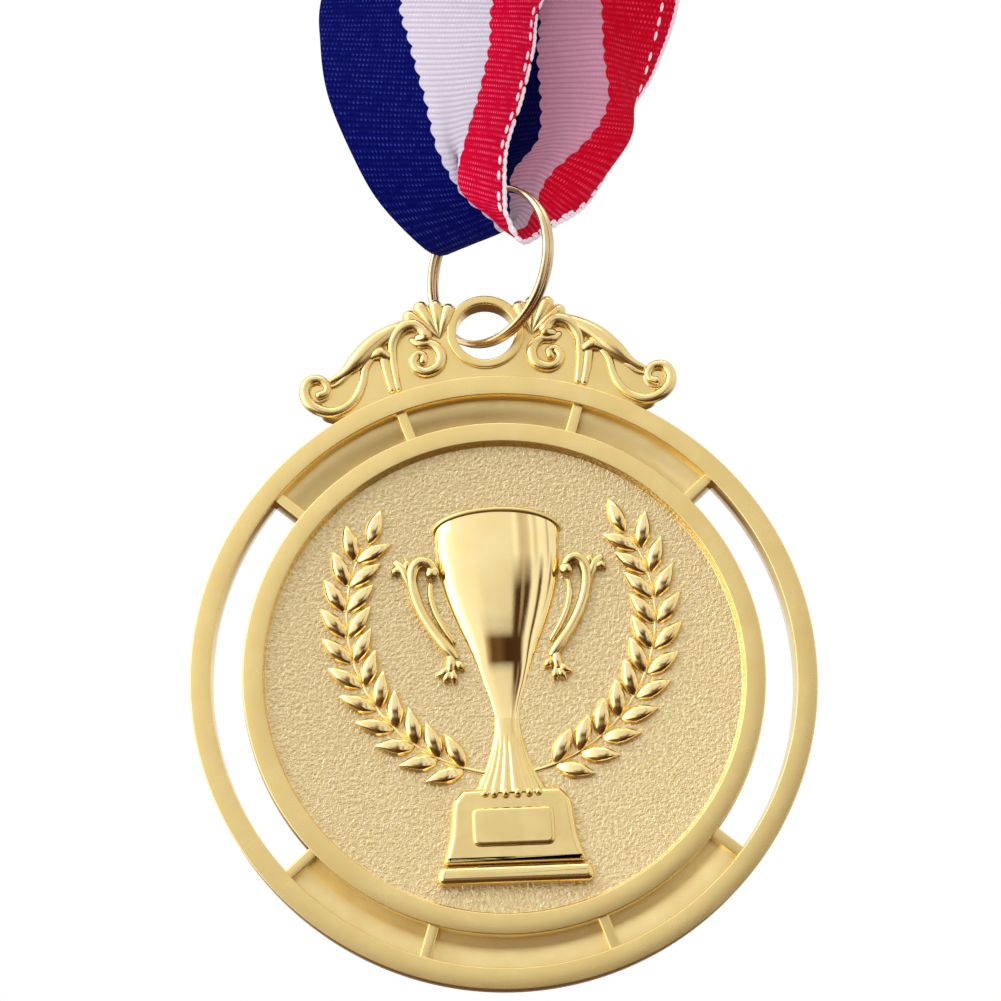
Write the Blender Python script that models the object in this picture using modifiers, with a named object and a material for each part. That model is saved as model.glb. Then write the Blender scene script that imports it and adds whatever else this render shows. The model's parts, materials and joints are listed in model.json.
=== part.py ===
"""Award medal on a split ring and a three-stripe neck ribbon.

The medal hangs plumb: X to the right, Y away from the viewer, Z up. The origin is the top of
the wound ribbon, where the medal is held, so everything lies below it. The die casting is laid
out flat first, in a plan frame with its disc centre at the origin, X right, Y up the medal and
Z towards the viewer, and is stood up at the end.
"""

import math

import bmesh
import bpy
from mathutils import Matrix, Vector

MM = 0.001
# Shapes are made with one unit to the millimetre, and these are that unit's merge distances.
MERGE = 1e-3
TURN_MERGE = 1e-2
# Name of the one tool whose bodies cross each other.
SELF_CROSSING = "leaves"

# Height of the held point over the centre of the disc.
HANG = 103.8

# Die casting, in millimetres.
RIM_R = 32.5
RIM_INNER_R = 30.35
RING_OUTER_R = 27.1
FIELD_R = 25.0
HALF_THICK = 1.6
PANEL_LEVEL = 0.0
FIELD_LEVEL = 0.4
PANEL_HALF_ANGLE = math.radians(48.9)
BAR_ANGLES = [math.radians(a) for a in (18.3, 48.9)]
BAR_WIDTH = 1.25
BAR_LEVEL = 1.15
SINK = 0.25
ROUND_STEPS = 96

# Eye and the scrolled crest that carries it.
EYE_Y = 37.8
EYE_R = 4.25
BORE_R = 3.2
EYE_HALF_THICK = 1.25
CREST_FRONT = 0.9
CREST_BACK = -1.2
CURL_X = 18.3
CURL_Y = 31.8
CURL_R = 1.95

# Trophy relief: (radius, height) down the cup, stem and foot.
CUP_PROFILE = [(6.6, 16.1), (6.5, 11.2), (5.2, 6.4), (3.4, 2.2), (2.1, -1.0), (1.0, -4.4),
               (1.15, -7.1), (3.2, -12.6)]
CUP_DEPTH = 0.29
CUP_LEVEL = 0.33
CUP_STEPS = 24
HANDLE = [(6.0, 10.6), (7.6, 11.2), (8.9, 10.6), (9.0, 9.0), (8.3, 6.6), (6.9, 4.2), (5.2, 2.2),
          (3.4, 1.6)]
HANDLE_R = 0.5
HANDLE_LEVEL = 0.72
# The cup's rim and the pedestal run downhill to the right by this slope.
RELIEF_SLOPE = -0.085
PEDESTAL_TOP = -12.0
PEDESTAL_BOTTOM = -19.9
PEDESTAL_HALF_WIDTH = 6.9
PEDESTAL_TAPER = 0.8
PEDESTAL_LEVELS = (1.4, 1.75)
PLINTH_BOTTOM = -21.9
PLINTH_HALF_WIDTH = 7.85
PLINTH_LEVEL = 2.0

# Laurel branches: leaves in two rows along an arc on each side.
LAUREL_X = 0.92
LAUREL_Y = 6.26
LAUREL_ROWS = (18.63, 15.57)
LAUREL_START = math.radians(27.2)
LAUREL_STEP = math.radians(9.3)
LAUREL_LEAVES = 11
LEAF = (1.75, 0.72, 0.55)
LEAF_SPLAY = math.radians(32.0)
TIP_LEAF = (12.8, 16.4)
TIP_LEAN = math.radians(20.0)

# Split ring: two turns of wire side by side, standing across the medal at 45 degrees.
RING_CENTRE = Vector((0.85, -0.6, 45.7))
RING_R = 8.82
WIRE_R = 0.37
TURN_OFFSET = 0.39
RING_YAW = math.radians(45.0)
RING_FROM = math.radians(30.0)
RING_TO = math.radians(690.0)
RING_STEP = math.radians(10.0)
CROSS_HALF = math.radians(30.0)

# Ribbon: route points of four lengthwise threads, from the left edge to the selvedge.
RIBBON_THICK = 0.7
FRONT_ROUTE = [
    [(-12.6, -10.7, 84.5), (-2.9, -10.7, 84.5), (6.9, -10.7, 84.5), (16.0, -10.7, 84.5)],
    [(-16.2, -6.5, 76.6), (-7.3, -8.5, 75.8), (2.9, -8.0, 75.8), (8.8, -4.6, 77.0)],
    [(-16.6, -6.0, 70.8), (-6.6, -8.2, 69.4), (2.0, -8.0, 69.2), (6.9, -4.8, 69.9)],
    [(-16.0, -5.5, 64.8), (-5.3, -7.8, 63.0), (0.5, -7.8, 63.0), (5.3, -5.0, 63.8)],
    [(-13.8, -4.5, 58.5), (-4.2, -7.2, 57.0), (-1.3, -7.6, 57.2), (3.2, -5.5, 57.3)],
    [(-11.0, -2.5, 53.8), (-2.6, -5.4, 53.0), (-1.0, -6.3, 53.0), (2.7, -6.0, 52.4)],
]
BIGHT_ROUTE = [
    [(-9.2, -1.4, 52.4), (-1.8, -4.7, 51.8), (0.4, -5.5, 51.6), (2.8, -5.8, 51.2)],
    [(-5.6, 2.2, 50.2), (0.9, -3.8, 50.2), (1.6, -5.3, 49.6), (3.0, -5.9, 49.0)],
    [(-4.0, 4.2, 49.1), (1.4, -1.9, 49.8), (3.0, -3.6, 48.3), (4.6, -4.8, 47.0)],
    [(-2.6, 5.2, 50.6), (3.2, -0.4, 50.8), (5.4, -2.4, 49.4), (6.4, -3.4, 47.8)],
]
BACK_ROUTE = [
    [(-2.0, 5.4, 52.2), (3.4, 0.6, 52.4), (6.2, -1.6, 51.6), (7.6, -2.0, 49.8)],
    [(-0.8, 4.2, 56.0), (4.0, 0.8, 57.2), (6.4, -0.6, 55.8), (9.6, 0.0, 52.4)],
    [(0.6, 2.6, 61.6), (7.5, 1.0, 61.6), (11.2, 0.0, 60.2), (14.4, 1.6, 57.2)],
    [(-0.4, 1.6, 66.6), (7.9, 1.0, 66.6), (15.2, 0.0, 64.8), (18.1, 2.4, 64.0)],
    [(-1.0, 0.4, 71.4), (7.8, 0.0, 71.4), (15.5, -1.2, 70.6), (21.0, 3.0, 70.6)],
    [(-1.6, -3.2, 77.4), (8.1, -2.8, 77.4), (15.3, -3.4, 76.9), (24.2, -1.0, 77.0)],
    [(-6.0, -9.6, 84.5), (4.0, -9.6, 84.5), (13.6, -9.6, 84.5), (23.0, -9.6, 84.5)],
]

# Wound-up rest of the ribbon, and the band around it.
ROLL_X = 4.6
ROLL_Z = 93.0
ROLL_R = 10.8
ROLL_WIDTH = 30.4
TAIL_X = (-13.2, 23.6)
TAIL_Y = (-11.2, -9.0)
TAIL_BOTTOM = 84.95
GAP = 0.3

# Elastic band: it runs level round the roll, over both strands, just above where they leave it.
BAND_BOTTOM = 93.5
BAND_HEIGHT = 5.0
BAND_THICK = 0.5
BAND_CORNER_R = 0.6

# Closing seam: one thread in two rows across the ribbon, at the back of the roll.
THREAD_R = 0.15
SEAM_HALF_WIDTH = 13.6
SEAM_ROWS = (-8.0, -2.5)
SEAM_POINTS = 10


def clear_scene():
    """Remove every object, so the script can be run again."""
    for item in list(bpy.data.objects):
        bpy.data.objects.remove(item, do_unlink=True)


def new_collection(name):
    """Make a collection in the scene."""
    group = bpy.data.collections.new(name)
    bpy.context.scene.collection.children.link(group)
    return group


def material(name, colour, roughness, metallic):
    """Make a Principled material."""
    made = bpy.data.materials.new(name)
    made.use_nodes = True
    shader = made.node_tree.nodes["Principled BSDF"]
    shader.inputs["Base Color"].default_value = (*colour, 1.0)
    shader.inputs["Roughness"].default_value = roughness
    shader.inputs["Metallic"].default_value = metallic
    made.diffuse_color = (*colour, 1.0)
    return made


def new_object(name, data, group):
    """Link data to a group as an object."""
    made = bpy.data.objects.new(name, data)
    group.objects.link(made)
    return made


def mesh_object(name, form, group):
    """Turn a bmesh into an object and free it."""
    data = bpy.data.meshes.new(name)
    form.to_mesh(data)
    form.free()
    return new_object(name, data, group)


def baked(source, name, group):
    """Copy an object's evaluated mesh to a new object, with its doubles merged."""
    bpy.context.view_layer.update()
    graph = bpy.context.evaluated_depsgraph_get()
    data = bpy.data.meshes.new_from_object(source.evaluated_get(graph))
    data.transform(source.matrix_world)
    form = bmesh.new()
    form.from_mesh(data)
    bmesh.ops.remove_doubles(form, verts=form.verts, dist=MERGE)
    form.to_mesh(data)
    form.free()
    bpy.data.objects.remove(source, do_unlink=True)
    return new_object(name, data, group)


def turned(name, profile, group, steps=ROUND_STEPS):
    """Turn a profile of (radius, height) about Z, down its outer side from the top."""
    form = bmesh.new()
    ring = [form.verts.new((r, 0.0, h)) for r, h in profile]
    for first, second in zip(ring, ring[1:] + ring[:1]):
        if (first.co - second.co).length > 0.0:
            form.edges.new((first, second))
    made = mesh_object(name, form, group)
    screw = made.modifiers.new("turn", "SCREW")
    screw.steps = steps
    screw.render_steps = steps
    screw.use_merge_vertices = True
    screw.merge_threshold = TURN_MERGE
    return baked(made, name, group)


def extruded(name, outline, low, high, group):
    """Extrude a closed plan outline from one level to another."""
    curve = bpy.data.curves.new(name, "CURVE")
    curve.dimensions = "2D"
    curve.fill_mode = "BOTH"
    curve.extrude = (high - low) / 2.0
    line = curve.splines.new("POLY")
    line.points.add(len(outline) - 1)
    for point, (x, y) in zip(line.points, outline):
        point.co = (x, y, 0.0, 1.0)
    line.use_cyclic_u = True
    made = new_object(name, curve, group)
    made.location.z = (low + high) / 2.0
    return baked(made, name, group)


def box(name, low, high, group):
    """Make a box between two corners."""
    form = bmesh.new()
    bmesh.ops.create_cube(form, size=1.0)
    for vert in form.verts:
        for axis in range(3):
            share = vert.co[axis] + 0.5
            vert.co[axis] = low[axis] + (high[axis] - low[axis]) * share
    return mesh_object(name, form, group)


def tube(name, points, radius, group, resolution=2):
    """Run a round wire through points."""
    curve = bpy.data.curves.new(name, "CURVE")
    curve.dimensions = "3D"
    curve.bevel_depth = radius
    curve.bevel_resolution = resolution
    curve.use_fill_caps = True
    line = curve.splines.new("POLY")
    line.points.add(len(points) - 1)
    for point, place in zip(line.points, points):
        point.co = (*place, 1.0)
    return baked(new_object(name, curve, group), name, group)


def joined(name, pieces, group):
    """Join separate shapes into one object that keeps them as loose bodies."""
    form = bmesh.new()
    for piece in pieces:
        piece.data.transform(piece.matrix_world)
        form.from_mesh(piece.data)
        bpy.data.objects.remove(piece, do_unlink=True)
    return mesh_object(name, form, group)


def combine(base, tools, operation, cutters):
    """Apply one Boolean for each tool to the base and return the finished object.

    Only the laurel leaves cross themselves, so only they need the slower self-crossing test.
    """
    for tool in tools:
        step = base.modifiers.new(tool.name, "BOOLEAN")
        step.operation = operation
        step.object = tool
        step.solver = "EXACT"
        step.use_self = tool.name.startswith(SELF_CROSSING)
        tool.hide_render = True
        tool.display_type = "WIRE"
    name = base.name
    base.name = name + "_base"
    made = baked(base, name, cutters)
    for tool in tools:
        bpy.data.objects.remove(tool, do_unlink=True)
    return made


def arc(centre, radius, start, end, count):
    """Return points along an arc, angles in degrees, both ends included."""
    turns = [math.radians(start + (end - start) * i / (count - 1)) for i in range(count)]
    return [(centre[0] + radius * math.cos(t), centre[1] + radius * math.sin(t)) for t in turns]


def sector(inner, outer, middle, half_angle):
    """Return the outline of an annular sector around a middle direction."""
    count = 2 * round(half_angle / math.radians(3.75)) + 1
    start = math.degrees(middle - half_angle)
    end = math.degrees(middle + half_angle)
    return arc((0, 0), outer, start, end, count) + arc((0, 0), inner, end, start, count)


def frame_rings(cutters):
    """Return the outer rim and the inner ring with its sunk field."""
    rim = turned("rim", [(RIM_INNER_R, HALF_THICK), (RIM_R - 0.3, HALF_THICK),
                         (RIM_R, HALF_THICK - 0.3), (RIM_R, 0.3 - HALF_THICK),
                         (RIM_R - 0.3, -HALF_THICK), (RIM_INNER_R, -HALF_THICK)], cutters)
    dish = turned("dish", [(0.0, FIELD_LEVEL), (FIELD_R, FIELD_LEVEL), (FIELD_R, HALF_THICK),
                           (RING_OUTER_R, HALF_THICK), (RING_OUTER_R, -HALF_THICK),
                           (0.0, -HALF_THICK)], cutters)
    return [rim, dish]


def panels_and_bars(cutters):
    """Return the two sunk panels and the eight radial bars between the rings."""
    made = []
    for side in (1, -1):
        outline = sector(RING_OUTER_R - SINK, RIM_INNER_R + SINK, side * math.pi / 2,
                         PANEL_HALF_ANGLE)
        made.append(extruded("panel", outline, SINK - HALF_THICK, PANEL_LEVEL, cutters))
        for angle in BAR_ANGLES:
            for hand in (1, -1):
                bar = box("bar", (-BAR_WIDTH / 2, RING_OUTER_R - SINK, 0.1 - HALF_THICK),
                          (BAR_WIDTH / 2, RIM_INNER_R + SINK, BAR_LEVEL), cutters)
                turn = hand * angle + (0.0 if side > 0 else math.pi)
                bar.data.transform(Matrix.Rotation(turn, 4, "Z"))
                made.append(bar)
    return made


def crest(cutters):
    """Return the scrolled crest plate, its end curls and the eye boss."""
    half = [(3.0, 41.0), (4.1, 41.3), (5.5, 41.6), (6.6, 41.6), (7.4, 41.3), (8.2, 40.4),
            (10.5, 39.1), (12.5, 37.6), (14.3, 35.7), (16.2, 33.6), (17.6, 32.8), (18.2, 29.4),
            (16.9, 28.6), (13.2, 29.2), (8.0, 31.0), (3.0, 31.9)]
    outline = [(-x, y) for x, y in half] + list(reversed(half))
    made = [extruded("crest_plate", outline, CREST_BACK, CREST_FRONT, cutters)]
    for side in (1, -1):
        curl = turned("curl", [(0.0, 1.35), (CURL_R - 0.5, 1.3), (CURL_R, 0.9),
                               (CURL_R, CREST_BACK - 0.05), (0.0, CREST_BACK - 0.05)], cutters, 24)
        curl.data.transform(Matrix.Translation((side * CURL_X, CURL_Y, 0.0)))
        made.append(curl)
    boss = turned("boss", [(0.0, EYE_HALF_THICK), (EYE_R - 0.4, EYE_HALF_THICK),
                           (EYE_R, EYE_HALF_THICK - 0.4), (EYE_R, -EYE_HALF_THICK),
                           (0.0, -EYE_HALF_THICK)], cutters, 48)
    boss.data.transform(Matrix.Translation((0.0, EYE_Y, 0.0)))
    made.append(boss)
    return made


def lean(piece):
    """Shear a relief so that its level lines run downhill to the right."""
    shear = Matrix.Identity(4)
    shear[1][0] = RELIEF_SLOPE
    piece.data.transform(shear)
    return piece


def trophy(cutters):
    """Return the cup, its pedestal and its two handles."""
    cup = turned("cup", [(0.0, CUP_PROFILE[0][1])] + CUP_PROFILE + [(0.0, CUP_PROFILE[-1][1])],
                 cutters, CUP_STEPS)
    stand = Matrix.Rotation(-math.pi / 2, 4, "X")
    flatten = Matrix.Diagonal((1.0, 1.0, CUP_DEPTH, 1.0))
    lift = Matrix.Translation((0.0, 0.0, CUP_LEVEL))
    cup.data.transform(lift @ flatten @ stand)
    top_level, front_level = PEDESTAL_LEVELS
    pedestal = box("pedestal", (-PEDESTAL_HALF_WIDTH, PEDESTAL_BOTTOM, -0.2),
                   (PEDESTAL_HALF_WIDTH, PEDESTAL_TOP, front_level), cutters)
    for vert in pedestal.data.vertices:
        if vert.co.y > PEDESTAL_TOP - 0.1:
            vert.co.x *= PEDESTAL_TAPER
            vert.co.z = min(vert.co.z, top_level)
    plinth = box("plinth", (-PLINTH_HALF_WIDTH, PLINTH_BOTTOM, -0.3),
                 (PLINTH_HALF_WIDTH, PEDESTAL_BOTTOM + 0.2, PLINTH_LEVEL), cutters)
    made = [lean(cup), lean(pedestal), lean(plinth)]
    for side in (1, -1):
        points = [(side * x, y + RELIEF_SLOPE * side * x, HANDLE_LEVEL) for x, y in HANDLE]
        made.append(tube("handle", points, HANDLE_R, cutters, 1))
    return made


def leaf(cutters, x, y, heading):
    """Return one laurel leaf, pointing along a heading."""
    form = bmesh.new()
    bmesh.ops.create_uvsphere(form, u_segments=6, v_segments=4, radius=1.0)
    tip_along_x = Matrix.Rotation(math.pi / 2, 4, "Y")
    size = Matrix.Diagonal((*LEAF, 1.0))
    turn = Matrix.Rotation(heading, 4, "Z")
    place = Matrix.Translation((x, y, FIELD_LEVEL + 0.2))
    bmesh.ops.transform(form, matrix=place @ turn @ size @ tip_along_x, verts=form.verts)
    return mesh_object("leaf", form, cutters)


def laurels(cutters):
    """Return all the laurel leaves, loose, as one object."""
    made = []
    for side in (1, -1):
        for row, radius in enumerate(LAUREL_ROWS):
            splay = LEAF_SPLAY if row else -LEAF_SPLAY
            for i in range(LAUREL_LEAVES):
                turn = LAUREL_START - LAUREL_STEP * i
                x = side * (radius * math.cos(turn) - LAUREL_X)
                y = LAUREL_Y + radius * math.sin(turn)
                heading = turn + math.pi / 2 + splay
                made.append(leaf(cutters, x, y, heading if side > 0 else math.pi - heading))
        tip_x, tip_y = TIP_LEAF
        made.append(leaf(cutters, side * tip_x, tip_y, math.pi / 2 + side * TIP_LEAN))
    return joined(SELF_CROSSING, made, cutters)


def medal_casting(parts, cutters):
    """Build the whole die casting as one closed body and stand it up at its bore."""
    rim, dish = frame_rings(cutters)
    dish.name = "medal_casting"
    tools = [rim] + panels_and_bars(cutters) + crest(cutters) + trophy(cutters)
    tools.append(laurels(cutters))
    made = combine(dish, tools, "UNION", cutters)
    bore = turned("bore", [(0.0, 4.0), (BORE_R, 4.0), (BORE_R, -4.0), (0.0, -4.0)], cutters, 48)
    bore.data.transform(Matrix.Translation((0.0, EYE_Y, 0.0)))
    made = combine(made, [bore], "DIFFERENCE", cutters)
    made.data.transform(Matrix.Translation((0.0, -EYE_Y, 0.0)))
    made.data.transform(Matrix.Scale(MM, 4) @ Matrix.Rotation(math.pi / 2, 4, "X"))
    cutters.objects.unlink(made)
    parts.objects.link(made)
    return made


def ring_path():
    """Return the wire's middle line: two turns side by side, with one crossing between them."""
    points = []
    steps = round((RING_TO - RING_FROM) / RING_STEP)
    for i in range(steps + 1):
        turn = RING_FROM + (RING_TO - RING_FROM) * i / steps
        share = (turn - 2.0 * math.pi + CROSS_HALF) / (2.0 * CROSS_HALF)
        share = min(max(share, 0.0), 1.0)
        offset = TURN_OFFSET * (2.0 * share * share * (3.0 - 2.0 * share) - 1.0)
        points.append((RING_R * math.cos(turn), offset, RING_R * math.sin(turn)))
    return points


def split_ring(parts):
    """Build the split ring, with its origin at the top, where it hangs on the ribbon."""
    made = tube("split_ring", ring_path(), WIRE_R, parts)
    made.data.transform(Matrix.Translation((0.0, 0.0, -RING_R)))
    made.data.transform(Matrix.Scale(MM, 4) @ Matrix.Rotation(-RING_YAW, 4, "Z"))
    return made


def smooth_between(rows, position):
    """Read a Catmull-Rom curve through rows of points at a position counted in rows."""
    first = min(int(position), len(rows) - 2)
    t = position - first
    a = rows[max(first - 1, 0)]
    b = rows[first]
    c = rows[first + 1]
    d = rows[min(first + 2, len(rows) - 1)]
    return (b * 2.0 + (c - a) * t + (a * 2.0 - b * 5.0 + c * 4.0 - d) * t * t
            + (b * 3.0 - a - c * 3.0 + d) * t * t * t) * 0.5


def ribbon_piece(name, route, parts, per_row=4, per_thread=3):
    """Loft a stretch of ribbon through its threads and give it its thickness."""
    rows = [[Vector(p) * MM - Vector((0, 0, HANG * MM)) for p in row] for row in route]
    form = bmesh.new()
    grid = []
    for i in range((len(rows) - 1) * per_row + 1):
        across = [smooth_between([row[k] for row in rows], i / per_row) for k in range(4)]
        line = [smooth_between(across, j / per_thread) for j in range(3 * per_thread + 1)]
        grid.append([form.verts.new(p) for p in line])
    for upper, lower in zip(grid, grid[1:]):
        for k in range(len(upper) - 1):
            form.faces.new((upper[k], lower[k], lower[k + 1], upper[k + 1]))
    made = mesh_object(name, form, parts)
    shell = made.modifiers.new("thickness", "SOLIDIFY")
    shell.thickness = RIBBON_THICK * MM
    shell.offset = 0.0
    return made


def ribbon_roll(parts, cutters):
    """Build the wound-up ribbon with the stretch where both strands leave it."""
    core = turned("ribbon_roll", [(0.0, ROLL_WIDTH / 2), (ROLL_R, ROLL_WIDTH / 2),
                                  (ROLL_R, -ROLL_WIDTH / 2), (0.0, -ROLL_WIDTH / 2)], cutters, 48)
    lay = Matrix.Rotation(math.pi / 2, 4, "Y")
    core.data.transform(Matrix.Translation((ROLL_X, 0.0, ROLL_Z)) @ lay)
    tail = box("tail", (TAIL_X[0], TAIL_Y[0], TAIL_BOTTOM), (TAIL_X[1], TAIL_Y[1], ROLL_Z), cutters)
    made = combine(core, [tail], "UNION", cutters)
    cutters.objects.unlink(made)
    parts.objects.link(made)
    made.data.transform(Matrix.Scale(MM, 4) @ Matrix.Translation((0.0, 0.0, -HANG)))
    return made


def band_outline(grow):
    """Return the band's rounded oblong, grown from its inner face."""
    half_x = ROLL_WIDTH / 2 + GAP - BAND_CORNER_R
    half_y = ROLL_R + GAP - BAND_CORNER_R
    outline = []
    for turn, (side_x, side_y) in zip((0, 90, 180, 270), ((1, 1), (-1, 1), (-1, -1), (1, -1))):
        centre = (ROLL_X + side_x * half_x, side_y * half_y)
        outline += arc(centre, BAND_CORNER_R + grow, turn, turn + 90, 6)
    return outline


def roll_band(parts, cutters):
    """Build the elastic band that runs level round the roll."""
    top = BAND_BOTTOM + BAND_HEIGHT
    made = extruded("roll_band", band_outline(BAND_THICK), BAND_BOTTOM, top, cutters)
    hole = extruded("band_hole", band_outline(0.0), BAND_BOTTOM - 1.0, top + 1.0, cutters)
    made = combine(made, [hole], "DIFFERENCE", cutters)
    cutters.objects.unlink(made)
    parts.objects.link(made)
    made.data.transform(Matrix.Scale(MM, 4) @ Matrix.Translation((0.0, 0.0, -HANG)))
    return made


def seam_point(x, rise):
    """Return a point on the back of the roll, by its place across and its arc from the middle."""
    reach = ROLL_R + GAP + THREAD_R
    turn = rise / ROLL_R
    return (ROLL_X + x, reach * math.cos(turn), ROLL_Z - HANG + reach * math.sin(turn))


def seam_thread(parts):
    """Build the closing seam's thread, out along one row and back along the other."""
    steps = [2.0 * i / (SEAM_POINTS - 1) - 1.0 for i in range(SEAM_POINTS)]
    first, second = SEAM_ROWS
    points = [seam_point(share * SEAM_HALF_WIDTH, first) for share in steps]
    points += [seam_point(SEAM_HALF_WIDTH, first + (second - first) * i / 4) for i in (1, 2, 3)]
    points += [seam_point(-share * SEAM_HALF_WIDTH, second) for share in steps]
    made = tube("seam_thread", points, THREAD_R, parts, 1)
    made.data.transform(Matrix.Scale(MM, 4))
    return made


def pivot(name, place, parts):
    """Make an empty that marks a joint's axis."""
    made = new_object(name, None, parts)
    made.location = place
    made.empty_display_size = 0.01
    return made


def shade(made, look):
    """Give an object its material and smooth its round faces."""
    made.data.materials.clear()
    made.data.materials.append(look)
    made.data.shade_smooth()
    made.data.set_sharp_from_angle(angle=math.radians(35.0))


def main():
    """Build every piece, place it and hang it on its joint's empty."""
    clear_scene()
    parts = new_collection("medal")
    cutters = new_collection("medal_cutters")
    gold = material("gold_plate", (0.80, 0.62, 0.27), 0.32, 1.0)
    ring_gold = material("pale_gold_wire", (0.78, 0.66, 0.42), 0.22, 1.0)
    blue = material("navy_weave", (0.004, 0.006, 0.19), 0.85, 0.0)
    red = material("crimson_weave", (0.62, 0.0, 0.03), 0.85, 0.0)
    white = material("white_weave", (0.76, 0.70, 0.83), 0.85, 0.0)
    rubber = material("band_rubber", (0.72, 0.62, 0.44), 0.6, 0.0)
    thread = material("white_thread", (0.82, 0.80, 0.84), 0.8, 0.0)

    casting = medal_casting(parts, cutters)
    ring = split_ring(parts)
    front = ribbon_piece("ribbon_front_strand", FRONT_ROUTE, parts)
    bight = ribbon_piece("ribbon_bight", BIGHT_ROUTE, parts)
    back = ribbon_piece("ribbon_back_strand", BACK_ROUTE, parts)
    roll = ribbon_roll(parts, cutters)
    band = roll_band(parts, cutters)
    seam = seam_thread(parts)

    for made, look in ((casting, gold), (ring, ring_gold), (front, blue), (bight, white),
                       (back, red), (roll, white), (band, rubber), (seam, thread)):
        shade(made, look)

    ring_top = RING_CENTRE + Vector((0.0, 0.0, RING_R))
    eye = Vector((0.0, 0.0, EYE_Y))
    ring_pivot = pivot("ring_swing_axis", (ring_top - Vector((0.0, 0.0, HANG))) * MM, parts)
    eye_pivot = pivot("medal_swing_axis", (eye - ring_top) * MM, parts)
    eye_pivot.parent = ring_pivot
    ring.parent = ring_pivot
    casting.parent = eye_pivot


if __name__ == "__main__":
    main()
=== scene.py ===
"""Looks of an openwork award medal on a split ring and a striped neck ribbon.

The die casting is laid out in a plan frame, in millimetres: disc centre at the origin, X to the
right, Y up the medal, Z towards the viewer. The ring and the ribbon use a hanging frame, also in
millimetres from the disc centre: X right, Y away from the viewer, Z up. Each finished mesh is
moved from its frame to its place in metres.
"""

import json
import logging
import math
from collections.abc import Callable, Iterable, Sequence
from dataclasses import dataclass
from enum import Enum

import bmesh
import bpy
from mathutils import Matrix, Vector

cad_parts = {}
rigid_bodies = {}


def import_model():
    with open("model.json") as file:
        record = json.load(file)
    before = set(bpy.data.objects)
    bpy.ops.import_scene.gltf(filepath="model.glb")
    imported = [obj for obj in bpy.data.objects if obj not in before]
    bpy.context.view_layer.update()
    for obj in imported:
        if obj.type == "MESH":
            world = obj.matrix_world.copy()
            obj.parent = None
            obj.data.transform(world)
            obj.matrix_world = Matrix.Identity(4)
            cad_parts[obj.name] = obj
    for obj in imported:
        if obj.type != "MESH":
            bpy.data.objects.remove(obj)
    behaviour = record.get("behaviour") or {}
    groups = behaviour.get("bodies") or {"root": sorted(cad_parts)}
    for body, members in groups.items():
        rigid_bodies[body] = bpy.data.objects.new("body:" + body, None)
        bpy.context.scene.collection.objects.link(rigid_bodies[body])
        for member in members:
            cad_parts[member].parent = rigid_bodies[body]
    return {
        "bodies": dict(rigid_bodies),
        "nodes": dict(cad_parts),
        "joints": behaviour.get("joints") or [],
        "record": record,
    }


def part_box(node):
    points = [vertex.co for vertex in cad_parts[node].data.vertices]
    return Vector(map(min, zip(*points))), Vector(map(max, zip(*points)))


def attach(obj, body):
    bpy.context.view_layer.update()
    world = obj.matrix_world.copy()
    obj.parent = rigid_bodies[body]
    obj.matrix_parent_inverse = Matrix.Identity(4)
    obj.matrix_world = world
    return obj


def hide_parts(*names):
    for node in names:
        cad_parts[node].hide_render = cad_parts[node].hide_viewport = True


LOG = logging.getLogger("medal")
MM = 0.001
MERGE = 1e-5  # vertices closer than this are one, in millimetres
TINY = 1e-9  # a shorter length has no direction
MOST_ROUNDED = 0.45  # a corner's rounding takes up to this share of an edge
CAP_ROWS = 4  # rows in a tube's round end
THINNEST = 0.02  # least radius of a tube, in millimetres
POLE = 1e-6  # a row with a smaller radius is one vertex
SUPPORT = 0.04  # a block's support row lies this far inside its rounding, in millimetres
PLAIN_WHITE = (1.0, 1.0, 1.0, 1.0)
STEEP = 0.6  # a casting's face is a wall when its normal's Y is smaller

Form = bmesh.types.BMesh
Piece = bpy.types.Object
Look = bpy.types.Material
Mesh = bpy.types.Mesh
Node = bpy.types.Node
Socket = bpy.types.NodeSocket
Tree = bpy.types.NodeTree
Pair = tuple[float, float]
Triple = tuple[float, float, float]
Knot = tuple[float, ...]
Profile = list[Pair]
Mark = tuple[Vector, Vector, Vector]

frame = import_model()


# --------------------------------------------------------------------------- places and meshes


@dataclass(frozen=True)
class Layout:
    """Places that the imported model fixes, in metres."""

    disc: Vector
    eye: Vector
    ring_top: Vector
    roll_low: Vector
    roll_high: Vector

    @classmethod
    def read(cls, packed: dict) -> "Layout":
        """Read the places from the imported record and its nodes.


        Returns:
            The layout of this medal.
        """
        mounts = {mount["name"]: mount for mount in packed["record"]["mounts"]}
        joints = {joint["name"]: joint for joint in packed["joints"]}
        back = Vector(mounts["medal_back"]["pos_m"])
        low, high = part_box("ribbon_roll")
        return cls(
            disc=Vector((back.x, 0.0, back.z)),
            eye=Vector(joints["medal_swing"]["pos_m"]),
            ring_top=Vector(joints["ring_swing"]["pos_m"]),
            roll_low=low,
            roll_high=high,
        )

    @property
    def plan(self) -> Matrix:
        """Matrix from the casting's plan frame to metres."""
        upright = Matrix.Rotation(math.pi / 2, 4, "X")
        return Matrix.Translation(self.disc) @ upright @ Matrix.Scale(MM, 4)

    @property
    def hanging(self) -> Matrix:
        """Matrix from the hanging frame to metres."""
        return Matrix.Translation(self.disc) @ Matrix.Scale(MM, 4)

    @property
    def eye_height(self) -> float:
        """Height of the eye's middle over the disc centre, in millimetres."""
        return (self.eye.z - self.disc.z) / MM


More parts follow.
